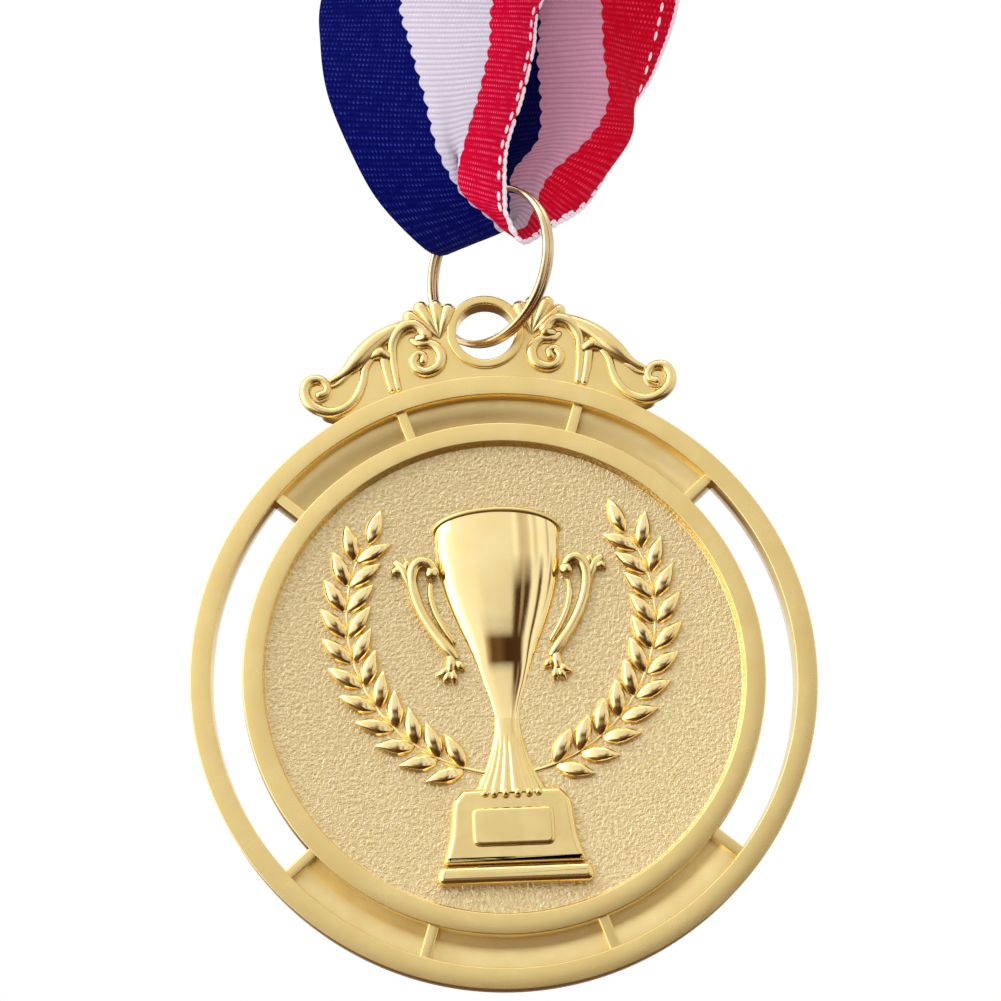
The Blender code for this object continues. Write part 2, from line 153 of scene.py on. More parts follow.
def smooth_path(knots: Sequence[Knot], per_span: int) -> list[Knot]:
    """Read a Catmull-Rom curve through knots of any number of values.

    Args:
        knots: The knots, such as (x, y, z, radius).
        per_span: Points to each span between two knots.

    Returns:
        The points along the curve, both ends included.
    """
    line: list[Knot] = []
    last = len(knots) - 1
    for i in range(last * per_span + 1):
        first = min(i // per_span, last - 1)
        t = i / per_span - first
        a, b, c, d = (knots[min(max(first + k, 0), last)] for k in (-1, 0, 1, 2))
        line.append(tuple(
            0.5 * (2 * q + (r - p) * t + (2 * p - 5 * q + 4 * r - s) * t * t
                   + (3 * q - p - 3 * r + s) * t * t * t)
            for p, q, r, s in zip(a, b, c, d)))
    return line


def rounded(profile: Profile, radius: float, steps: int = 3, closed: bool = True) -> Profile:
    """Round the corners of a profile.

    Args:
        profile: The profile's corners.
        radius: Distance from each corner at which its rounding starts.
        steps: Segments to each corner.
        closed: Whether the profile is a closed loop.

    Returns:
        The rounded profile.
    """
    count = len(profile)
    made: Profile = []
    for i, corner in enumerate(profile):
        if not closed and i in (0, count - 1):
            made.append(corner)
            continue
        here = Vector(corner)
        ends = []
        for other in (Vector(profile[i - 1]), Vector(profile[(i + 1) % count])):
            away = other - here
            ends.append(here + away.normalized() * min(radius, away.length * MOST_ROUNDED))
        for k in range(steps + 1):
            t = k / steps
            point = ends[0] * (1 - t) ** 2 + here * 2 * t * (1 - t) + ends[1] * t * t
            made.append((point.x, point.y))
    return made


def bridge(form: Form, first: list, second: list) -> None:
    """Join two closed rows of vertices with faces, where a row of one vertex is a pole."""
    count = max(len(first), len(second))
    for k in range(count):
        n = (k + 1) % count
        corners = [first[k % len(first)], second[k % len(second)],
                   second[n % len(second)], first[n % len(first)]]
        distinct = list(dict.fromkeys(corners))
        if len(distinct) > 2:
            form.faces.new(distinct)


def row_of(form: Form, places: Iterable) -> list[bmesh.types.BMVert]:
    """Add a row of vertices."""
    return [form.verts.new(place) for place in places]


def loft(form: Form, rows: list, loop: bool = False, caps: bool = False) -> None:
    """Join closed rows in turn, back to the first if loop, with a face at each end if caps."""
    for first, second in zip(rows, rows[1:] + (rows[:1] if loop else [])):
        bridge(form, first, second)
    for row in (rows[0], rows[-1]) if caps else ():
        form.faces.new(row)


def add_tube(form: Form, knots: Sequence[Knot], per_span: int = 6, sides: int = 12,
             height: float = 1.0, facing: Vector = Vector((0, 0, 1))) -> None:
    """Add a round-ended tube along a smooth path.

    Args:
        form: The mesh to add to.
        knots: The path's knots, (x, y, z, radius).
        per_span: Points to each span between two knots.
        sides: Sides of the tube.
        height: Height of its section along facing, as a share of its width.
        facing: The direction that stays upright in every section.
    """
    line = smooth_path(knots, per_span)
    centres = [Vector(p[:3]) for p in line]
    radii = [max(p[3], THINNEST) for p in line]
    tangents = [(centres[min(i + 1, len(line) - 1)] - centres[max(i - 1, 0)]).normalized()
                for i in range(len(line))]
    leans = [math.pi / 2 * k / CAP_ROWS for k in range(1, CAP_ROWS + 1)]
    stations = [(centres[0] - tangents[0] * radii[0] * math.sin(lean),
                 radii[0] * math.cos(lean), tangents[0]) for lean in reversed(leans)]
    stations += zip(centres, radii, tangents)
    stations += [(centres[-1] + tangents[-1] * radii[-1] * math.sin(lean),
                  radii[-1] * math.cos(lean), tangents[-1]) for lean in leans]
    turns = [2 * math.pi * k / sides for k in range(sides)]
    rows = []
    for centre, radius, tangent in stations:
        across = tangent.cross(facing).normalized() * radius
        upright = across.cross(tangent) * height
        rows.append(row_of(form, [centre] if radius < POLE else (
            centre + across * math.cos(t) + upright * math.sin(t) for t in turns)))
    loft(form, rows)


def add_lathe(form: Form, profile: Profile, steps: int, closed: bool) -> None:
    """Add a shape turned about Z from a profile of (radius, height).

    Args:
        form: The mesh to add to.
        profile: The profile; an open one starts and ends on the axis.
        steps: Steps in the turn.
        closed: Whether the profile is a closed loop off the axis.
    """
    turns = [2 * math.pi * k / steps for k in range(steps)]
    rows = [row_of(form, [(0.0, 0.0, height)] if radius < POLE else (
        (radius * math.cos(t), radius * math.sin(t), height) for t in turns))
        for radius, height in profile]
    loft(form, rows, loop=closed)


def add_block(form: Form, outline: Profile, low: float, high: float,
              bevel: float, segments: int = 6) -> None:
    """Add a flat block with a rounded front edge and a support row inside it.

    Args:
        form: The mesh to add to.
        outline: The block's corners in plan, counter-clockwise, as it is at its foot.
        low: Level of its back.
        high: Level of its front.
        bevel: How far its front edge is rounded, inwards and back.
        segments: Segments to the rounding.
    """
    offsets = []
    for i, corner in enumerate(outline):
        before = (Vector(corner) - Vector(outline[i - 1])).normalized()
        after = (Vector(outline[(i + 1) % len(outline)]) - Vector(corner)).normalized()
        inward = Vector((-(before.y + after.y), before.x + after.x))
        offsets.append(inward.normalized() if inward.length > TINY else Vector((0, 0)))
    levels = [(0.0, low)]
    for k in range(segments + 1):
        lean = math.pi / 2 * k / segments
        levels.append((bevel * (1 - math.cos(lean)), high - bevel * (1 - math.sin(lean))))
    levels.append((bevel + SUPPORT, high))
    rows = [row_of(form, ((x + o.x * inset, y + o.y * inset, level)
                          for (x, y), o in zip(outline, offsets))) for inset, level in levels]
    loft(form, rows, caps=True)


def link_piece(name: str, data: Mesh) -> Piece:
    """Put a finished mesh in the scene, smooth-shaded."""
    data.shade_smooth()
    piece = bpy.data.objects.new(name, data)
    bpy.context.scene.collection.objects.link(piece)
    return piece


def new_piece(name: str, form: Form, place: Matrix, sharp: float = 40.0) -> Piece:
    """Turn a mesh under construction into a placed, smooth-shaded object.

    Args:
        name: The piece's name.
        form: Its mesh, which is freed.
        place: Matrix from the mesh's frame to metres.
        sharp: Edges that bend more than this many degrees stay sharp.

    Returns:
        The new object, at the origin with its place in its mesh.
    """
    bmesh.ops.remove_doubles(form, verts=form.verts, dist=MERGE)
    bmesh.ops.recalc_face_normals(form, faces=form.faces)
    data = bpy.data.meshes.new(name)
    form.to_mesh(data)
    form.free()
    data.transform(place)
    piece = link_piece(name, data)
    data.set_sharp_from_angle(angle=math.radians(sharp))
    return piece


def merge(whole: Form, part: Form) -> None:
    """Add a part to a mesh under construction and free the part."""
    data = bpy.data.meshes.new("part")
    part.to_mesh(data)
    part.free()
    whole.from_mesh(data)
    bpy.data.meshes.remove(data)


def dress_steep(piece: Piece, flat: Look, steep: Look) -> None:
    """Give a casting piece one finish on its faces and another on its walls.

    Args:
        piece: The piece, upright with its front towards -Y.
        flat: Finish of the faces that look forwards or back.
        steep: Finish of the walls.
    """
    for look in (flat, steep):
        piece.data.materials.append(look)
    for face in piece.data.polygons:
        face.material_index = int(abs(face.normal.y) < STEEP)


def settle(piece: Piece, look: Look, body: str, slot: str,
           *nodes: str) -> None:
    """Dress a finished piece and tie it to the model.

    Args:
        piece: The piece.
        look: Its material, unless it is dressed already.
        body: The body it moves with.
        slot: Not used.
        nodes: The nodes that it stands for.
    """
    if not piece.data.materials:
        piece.data.materials.append(look)
    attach(piece, body)
    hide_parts(*nodes)
    LOG.info("%s: %d faces on %s", piece.name, len(piece.data.polygons), body)


# --------------------------------------------------------------------------------- node trees


class Wiring:
    """Builds a node tree with short calls, where any value may be a socket or a constant."""

    def __init__(self, tree: Tree) -> None:
        """Keep the tree."""
        self.tree = tree

    def feed(self, socket: Socket, value: object) -> None:
        """Link or set one input."""
        if isinstance(value, Socket):
            self.tree.links.new(value, socket)
        else:
            socket.default_value = value

    def node(self, kind: str, inputs: dict | None = None, **settings: object) -> Node:
        """Add a node.

        Args:
            kind: Its type name.
            inputs: Values for its inputs, by name or number.
            settings: Its own settings.

        Returns:
            The node.
        """
        made = self.tree.nodes.new(kind)
        for key, value in settings.items():
            setattr(made, key, value)
        for key, value in (inputs or {}).items():
            self.feed(made.inputs[key], value)
        return made

    def math(self, operation: str, *values: object) -> Socket:
        """Add a Math node and return its result."""
        return self.node("ShaderNodeMath", dict(enumerate(values)), operation=operation).outputs[0]

    def add(self, *values: object) -> Socket:
        """Add two values."""
        return self.math("ADD", *values)

    def times(self, *values: object) -> Socket:
        """Multiply two values."""
        return self.math("MULTIPLY", *values)

    def bump(self, shader: Node, height: Socket, rise_mm: float,
             strength: float = 1.0) -> None:
        """Give a shader's surface a fine relief, rise_mm high."""
        made = self.node("ShaderNodeBump", {"Height": height, "Strength": strength,
                                            "Distance": rise_mm * MM})
        self.feed(shader.inputs["Normal"], made.outputs["Normal"])

    def noise(self, vector: Socket, size_mm: float, detail: float = 2.0) -> Socket:
        """Add noise with features of a size in millimetres and return its value."""
        inputs = {"Vector": vector, "Scale": 1.0 / (size_mm * MM), "Detail": detail}
        return self.node("ShaderNodeTexNoise", inputs).outputs["Fac"]

    def ramp(self, factor: Socket, stops: Sequence[tuple[float, tuple]]) -> Socket:
        """Add a colour ramp and return its colour."""
        made = self.node("ShaderNodeValToRGB", {"Fac": factor})
        elements = made.color_ramp.elements
        for element, (place, colour) in zip((elements[0], elements[-1]), (stops[0], stops[-1])):
            element.position = place
            element.color = (*colour, 1.0)
        for place, colour in stops[1:-1]:
            elements.new(place).color = (*colour, 1.0)
        return made.outputs["Color"]

    def span(self, value: Socket, low: float, high: float,
             to_low: float = 0.0, to_high: float = 1.0) -> Socket:
        """Map a value from one range to another, clamped."""
        inputs = {0: value, 1: low, 2: high, 3: to_low, 4: to_high}
        return self.node("ShaderNodeMapRange", inputs).outputs[0]

    def mix(self, factor: object, first: object, second: object,
            blend: str = "MIX") -> Socket:
        """Mix two colours and return the result."""
        made = self.node("ShaderNodeMix", data_type="RGBA", blend_type=blend)
        for number, value in ((0, factor), (6, first), (7, second)):
            self.feed(made.inputs[number], value)
        return made.outputs[2]


def begin_tree(name: str, inputs: dict[str, str]) -> tuple[Wiring, bpy.types.NodeOutputs]:
    """Start a Geometry Nodes tree.

    Args:
        name: The tree's name.
        inputs: The type of each input besides the geometry, by name.

    Returns:
        The tree's wiring and the sockets that hold what it is given.
    """
    tree = bpy.data.node_groups.new(name, "GeometryNodeTree")
    for label, kind in {"Geometry": "Geometry", **inputs}.items():
        tree.interface.new_socket(label, in_out="INPUT", socket_type=f"NodeSocket{kind}")
    tree.interface.new_socket("Geometry", in_out="OUTPUT", socket_type="NodeSocketGeometry")
    wiring = Wiring(tree)
    return wiring, wiring.node("NodeGroupInput").outputs


def end_tree(wiring: Wiring, copies: dict, finish: Socket) -> Tree:
    """End a tree: copies on points, made real, with their finish.

    Args:
        wiring: The tree's wiring.
        copies: Inputs of the node that sets out the copies.
        finish: Their material.

    Returns:
        The tree.
    """
    laid = wiring.node("GeometryNodeInstanceOnPoints", copies)
    real = wiring.node("GeometryNodeRealizeInstances", {0: laid.outputs[0]})
    dressed = wiring.node("GeometryNodeSetMaterial", {"Geometry": real.outputs[0],
                                                      "Material": finish})
    wiring.node("NodeGroupOutput", {0: dressed.outputs[0]})
    return wiring.tree


def evaluated(base: Piece, tree: Tree, values: dict) -> Mesh:
    """Run a Geometry Nodes tree on an object and keep only the resulting mesh.

    Args:
        base: The object that the tree starts from, which is removed.
        tree: The tree.
        values: The tree's inputs, by name.

    Returns:
        The plain mesh.
    """
    step = base.modifiers.new("set_out", "NODES")
    step.node_group = tree
    keys = {item.name: item.identifier for item in tree.interface.items_tree
            if item.in_out == "INPUT" and item.name in values}
    for name, value in values.items():
        step[keys[name]] = value
    bpy.context.view_layer.update()
    graph = bpy.context.evaluated_depsgraph_get()
    mesh = bpy.data.meshes.new_from_object(base.evaluated_get(graph))
    bpy.data.objects.remove(base, do_unlink=True)
    return mesh


def new_material(name: str) -> tuple[Look, Wiring, Node]:
    """Make a material with its Principled shader.

    Args:
        name: The material's name.

    Returns:
        The material, its wiring and its shader node.
    """
    made = bpy.data.materials.new(name)
    made.use_nodes = True
    return made, Wiring(made.node_tree), made.node_tree.nodes["Principled BSDF"]


def opaque(colour: Iterable[float]) -> tuple[float, float, float, float]:
    """Give a colour its alpha."""
    red, green, blue = colour
    return (red, green, blue, 1.0)


# ----------------------------------------------------------------------------------- finishes


@dataclass(frozen=True)
class GoldFinish:
    """A gold-coloured plate, from mirror to sandblasted.

    Attributes:
        name: Name of the finish.
        colour: Colour of its reflection.
        deep: Colour in its duller patches.
        roughness: Lowest and highest roughness.
        grain_mm: Size of its grain.
        grain_height_mm: Height of its grain.
        patch_mm: Size of the patches in which its colour and roughness drift.
        fine_share: Size and height of the finer grain on it, as a share of the grain's.
    """

    name: str
    colour: Triple
    deep: Triple
    roughness: Pair
    grain_mm: float
    grain_height_mm: float
    patch_mm: float = 3.0
    fine_share: float = 0.4

    def make(self) -> Look:
        """Build the material."""
        made, wiring, shader = new_material(self.name)
        place = wiring.node("ShaderNodeTexCoord").outputs["Object"]
        patch = wiring.span(wiring.noise(place, self.patch_mm, 3.0), 0.35, 0.65)
        shader.inputs["Metallic"].default_value = 1.0
        wiring.feed(shader.inputs["Base Color"],
                    wiring.mix(patch, opaque(self.colour), opaque(self.deep)))
        wiring.feed(shader.inputs["Roughness"], wiring.span(patch, 0.0, 1.0, *self.roughness))
        fine = wiring.noise(place, self.grain_mm * self.fine_share, 1.0)
        grain = wiring.add(wiring.noise(place, self.grain_mm), wiring.times(fine, self.fine_share))
        wiring.bump(shader, grain, self.grain_height_mm)
        return made


class Stripe(Enum):
    """The ribbon's three stripes, by the colours of their ground and of their weft ticks."""

    NAVY = ((0.0, 0.001, 0.10), (0.03, 0.05, 0.30))
    WHITE = ((0.68, 0.60, 0.72), (0.80, 0.74, 0.84))
    CRIMSON = ((0.70, 0.0, 0.035), (0.95, 0.14, 0.26))


@dataclass(frozen=True)
class RibbonWeave:
    """Ribbed polyester ribbon in three stripes, drawn on a map in millimetres.

    Attributes:
        name: Name of the finish.
        stripe_mm: Width of each stripe.
        rib_mm: Pitch of the crosswise ribs.
        end_mm: Pitch of the lengthwise yarns.
        scallop_mm: Pitch of the scallops where two stripes meet.
        scallop_depth_mm: Depth of those scallops.
        rib_height_mm: Height of a rib.
        border_mm: Half the width over which two stripes meet.
        back_shade_mm: Stretch behind the ring, along the back strand, where painted shade with a
            painted crimson bounce of light darkens the colour.
        back_shade_tint: Share of each colour that is left there under that painted shade.
        back_shade_fade_mm: Half the length over which that painted shade starts, and ends.
        rib_share: Share of the relief that the ribs have.
        yarn_share: Share of the relief that the lengthwise yarns have.
        relief_strength: Strength of the relief.
        roughness: Its roughness.
        gloss: How much it shines.
    """

    name: str = "ribbon_weave"
    stripe_mm: float = 10.0
    rib_mm: float = 0.62
    end_mm: float = 0.42
    scallop_mm: float = 1.75
    scallop_depth_mm: float = 0.42
    rib_height_mm: float = 0.16
    border_mm: float = 0.04
    back_shade_mm: Pair = (52.0, 108.0)
    back_shade_tint: Triple = (0.86, 0.45, 0.52)
    back_shade_fade_mm: Pair = (5.0, 8.0)
    rib_share: float = 0.7
    yarn_share: float = 0.3
    relief_strength: float = 0.8
    roughness: float = 0.7
    gloss: float = 0.05

    def make(self) -> Look:
        """Build the material."""
        made, wiring, shader = new_material(self.name)
        chart = wiring.node("ShaderNodeUVMap", uv_map="weave").outputs["UV"]
        across, along, _ = wiring.node("ShaderNodeSeparateXYZ", {"Vector": chart}).outputs
        rib = wiring.math("SINE", wiring.times(along, 2 * math.pi / self.rib_mm))
        row = wiring.math("FLOOR", wiring.math("DIVIDE", along, self.rib_mm))
        shift = wiring.times(wiring.math("MODULO", row, 2.0), math.pi)
        yarn = wiring.math("SINE", wiring.add(
            wiring.times(across, 2 * math.pi / self.end_mm), shift))
        wave = wiring.math("ABSOLUTE", wiring.math("SINE", wiring.times(
            along, math.pi / self.scallop_mm)))
        edge = wiring.add(across, wiring.times(wave, self.scallop_depth_mm))
        drift = wiring.noise(wiring.node("ShaderNodeTexCoord").outputs["Object"], 1.1, 3.0)
        # Ticks of weft show where a rib and a yarn both stand high, in patches.
        tick = wiring.times(wiring.span(yarn, 0.1, 0.9), wiring.span(rib, 0.0, 0.8))
        tick = wiring.times(tick, wiring.span(drift, 0.40, 0.62))
        tones = [wiring.mix(tick, *map(opaque, stripe.value)) for stripe in Stripe]
        colour = tones[0]
        for number, tone in enumerate(tones[1:], start=1):
            border = number * self.stripe_mm + self.scallop_depth_mm / 2
            colour = wiring.mix(wiring.span(edge, border - self.border_mm, border + self.border_mm),
                                colour, tone)
        # Painted shade with a painted crimson bounce of light on the back strand behind the ring:
        # over this stretch the colour is darkened and turned pinker.
        start, end = self.back_shade_mm
        fade_in, fade_out = self.back_shade_fade_mm
        back_shade_zone = wiring.times(wiring.span(along, start - fade_in, start + fade_in),
                               wiring.span(along, end - fade_out, end + fade_out, 1.0, 0.0))
        back_shade_colour = wiring.mix(back_shade_zone, PLAIN_WHITE, opaque(self.back_shade_tint))
        # Painted shade in the troughs between the ribs, then the painted shade of the back strand,
        # multiply the colour.
        for shade in (wiring.span(rib, -1.0, 0.2, 0.80, 1.0), back_shade_colour):
            colour = wiring.mix(1.0, colour, shade, "MULTIPLY")
        wiring.feed(shader.inputs["Base Color"], colour)
        height = wiring.add(wiring.times(rib, self.rib_share), wiring.times(yarn, self.yarn_share))
        wiring.bump(shader, height, self.rib_height_mm / 2, self.relief_strength)
        shader.inputs["Roughness"].default_value = self.roughness
        shader.inputs["Specular IOR Level"].default_value = self.gloss
        return made


@dataclass(frozen=True)
class YarnFinish:
    """Sewing thread or plain rubber: one colour that drifts a little, with a fine grain.

    Attributes:
        name: Name of the finish.
        colour: Its colour.
        dull: Its colour in the duller patches.
        roughness: Its roughness.
        grain_mm: Size of its grain.
        grain_height_mm: Height of its grain.
    """

    name: str
    colour: Triple
    dull: Triple
    roughness: float
    grain_mm: float
    grain_height_mm: float = 0.04

    def make(self) -> Look:
        """Build the material."""
        made, wiring, shader = new_material(self.name)
        place = wiring.node("ShaderNodeTexCoord").outputs["Object"]
        drift = wiring.noise(place, self.grain_mm)
        patch = wiring.span(drift, 0.3, 0.7)
        wiring.feed(shader.inputs["Base Color"],
                    wiring.mix(patch, opaque(self.colour), opaque(self.dull)))
        wiring.bump(shader, drift, self.grain_height_mm)
        shader.inputs["Roughness"].default_value = self.roughness
        return made


class Palette:
    """Every finish of the medal, made once."""

    def __init__(self) -> None:
        """Make the materials."""
        self.satin = self.gold("satin_gold", (0.86, 0.66, 0.28), (0.83, 0.63, 0.255),
                               (0.27, 0.34), 0.14, 0.006)
        self.leaf = self.gold("leaf_gold", (0.95, 0.76, 0.37), (0.92, 0.71, 0.32),
                              (0.14, 0.20), 0.3, 0.003)
        self.panel = self.gold("panel_gold", (0.92, 0.73, 0.34), (0.87, 0.67, 0.30),
                               (0.34, 0.42), 0.16, 0.012)
        self.field = self.gold("sandblasted_gold", (0.90, 0.74, 0.43), (0.74, 0.57, 0.28),
                               (0.36, 0.46), 0.36, 0.10, 0.45)
        self.mirror = self.gold("polished_gold", (0.95, 0.77, 0.39), (0.93, 0.73, 0.34),
                                (0.04, 0.07), 0.6, 0.0012)
        self.relief = self.gold("bright_relief_gold", (0.88, 0.69, 0.31), (0.85, 0.65, 0.28),
                                (0.16, 0.22), 0.3, 0.004)
        self.scroll = self.gold("crest_gold", (0.88, 0.69, 0.31), (0.84, 0.64, 0.27),
                                (0.20, 0.26), 0.25, 0.005)
        self.wire = self.gold("ring_gold", (0.80, 0.64, 0.40), (0.68, 0.50, 0.28),
                              (0.14, 0.24), 0.25, 0.010)
        self.ribbon = RibbonWeave().make()
        self.thread = YarnFinish("sewing_thread", (0.88, 0.78, 0.84), (0.76, 0.62, 0.70),
                                 0.7, 0.3).make()
        self.rubber = YarnFinish("elastic", (0.72, 0.62, 0.44), (0.66, 0.56, 0.38),
                                 0.55, 0.5).make()

    @staticmethod
    def gold(*sizes: object) -> Look:
        """Make a gold finish from GoldFinish's values in order."""
        return GoldFinish(*sizes).make()


# ------------------------------------------------------------------------------------- casting


class Side(Enum):
    """The medal's two sides, by the sign of their X."""

    LEFT = -1
    RIGHT = 1


@dataclass
class CastPart:
    """Part of the casting, in plan millimetres."""

    layout: Layout
    palette: Palette
    field_level: float = 0.4

    def cast(self, *dressed: tuple[Piece, Look]) -> None:
        """Dress pieces and tie them to the medal."""
        for piece, look in dressed:
            settle(piece, look, "medal", "gold_plate", "medal_casting")


@dataclass
class OpenworkFrame(CastPart):
    """Outer rim, dished disc, sunk panels and radial bars."""

    half_thick: float = 1.6
    rim_radii: Pair = (30.35, 32.5)
    ring_radii: Pair = (25.0, 27.1)
    draft: float = 0.14
    groove_inset: float = 0.9
    groove_half_width: float = 0.15
    groove_depth: float = 0.14
    panel_level: float = 0.0
    panel_step: float = 0.12
    panel_root: float = 0.3
    panel_back: float = 0.1
    panel_half_angle: float = math.radians(48.9)
    bar_angles: Pair = (math.radians(18.3), math.radians(48.9))
    bar_half_widths: Pair = (0.70, 0.56)
    bar_back: float = 0.15
    bar_level: float = 1.15
    bar_round: float = 0.16
    edge: float = 0.13
    dish_edge: float = 0.14
    contour: Pair = (28.2, 28.35)
    root: float = 0.2
    steps: int = 240
    panel_steps: int = 80

    def rim(self) -> Piece:
        """Build the outer rim."""
        inner, outer = self.rim_radii
        high = self.half_thick
        profile = [(inner, high), (outer, high), (outer, -high), (inner, -high),
                   (inner - self.draft, 0.0)]
        form = bmesh.new()
        add_lathe(form, rounded(profile, self.edge), self.steps, True)
        return new_piece("outer_rim", form, self.layout.plan)

    def dish(self) -> Piece:
        """Build the inner ring with its sunk field in front and its plain back."""
        inner, outer = self.ring_radii
        high = self.half_thick
        groove = inner - self.groove_inset
        profile = [(0.0, self.field_level), (inner - self.draft, self.field_level), (inner, high),
                   (outer, high), (outer + self.draft, 0.0), (outer, -high),
                   (groove + 2 * self.groove_half_width, -high),
                   (groove + self.groove_half_width, self.groove_depth - high),
                   (groove, -high), (0.0, -high)]
        form = bmesh.new()
        add_lathe(form, rounded(profile, self.dish_edge, closed=False), self.steps, False)
        for face in form.faces:
            middle = face.calc_center_median()
            reach = inner - self.draft * 1.5 if middle.z > 0 else groove
            face.material_index = int(middle.xy.length < reach)
        piece = new_piece("dished_disc", form, self.layout.plan)
        fields = [face.index for face in piece.data.polygons if face.material_index]
        dress_steep(piece, self.palette.satin, self.palette.leaf)
        piece.data.materials.append(self.palette.field)
        for index in fields:
            piece.data.polygons[index].material_index = 2
        return piece

    def panels(self) -> Piece:
        """Build the two sunk panels, above and below the disc."""
        form = bmesh.new()
        inner, outer = self.ring_radii[1] - self.panel_root, self.rim_radii[0] + self.root
        low, high = self.panel_level - self.panel_step, self.panel_level
        back = self.panel_back - self.half_thick
        section = [(inner, low), (self.contour[0], low), (self.contour[1], high), (outer, high),
                   (outer, back), (inner, back)]
        for middle in (math.pi / 2, -math.pi / 2):
            rows = []
            for i in range(self.panel_steps + 1):
                turn = middle + self.panel_half_angle * (2 * i / self.panel_steps - 1)
                ray = Vector((math.cos(turn), math.sin(turn), 0.0))
                rows.append(row_of(form, (ray * r + Vector((0, 0, z)) for r, z in section)))
            loft(form, rows, caps=True)
        return new_piece("sunk_panels", form, self.layout.plan)

    def bars(self) -> Piece:
        """Build the eight radial bars, narrower at their front."""
        form = bmesh.new()
        wide, narrow = self.bar_half_widths
        back = self.bar_back - self.half_thick
        section = rounded([(-wide, back), (wide, back), (narrow, self.bar_level),
                           (-narrow, self.bar_level)], self.bar_round)
        ends = (self.ring_radii[1] - self.root, self.rim_radii[0] + self.root)
        for up in (0.0, math.pi):
            for angle in (*self.bar_angles, *(-a for a in self.bar_angles)):
                turn = Matrix.Rotation(angle + up, 3, "Z")
                loft(form, [row_of(form, (turn @ Vector((x, radius, z)) for x, z in section))
                            for radius in ends], caps=True)
        return new_piece("radial_bars", form, self.layout.plan)

    def build(self) -> None:
        """Build and dress the casting's open frame."""
        rim, dish, panels, bars = self.rim(), self.dish(), self.panels(), self.bars()
        for piece in (rim, bars):
            dress_steep(piece, self.palette.satin, self.palette.leaf)
        self.cast(*((piece, self.palette.panel) for piece in (rim, dish, panels, bars)))


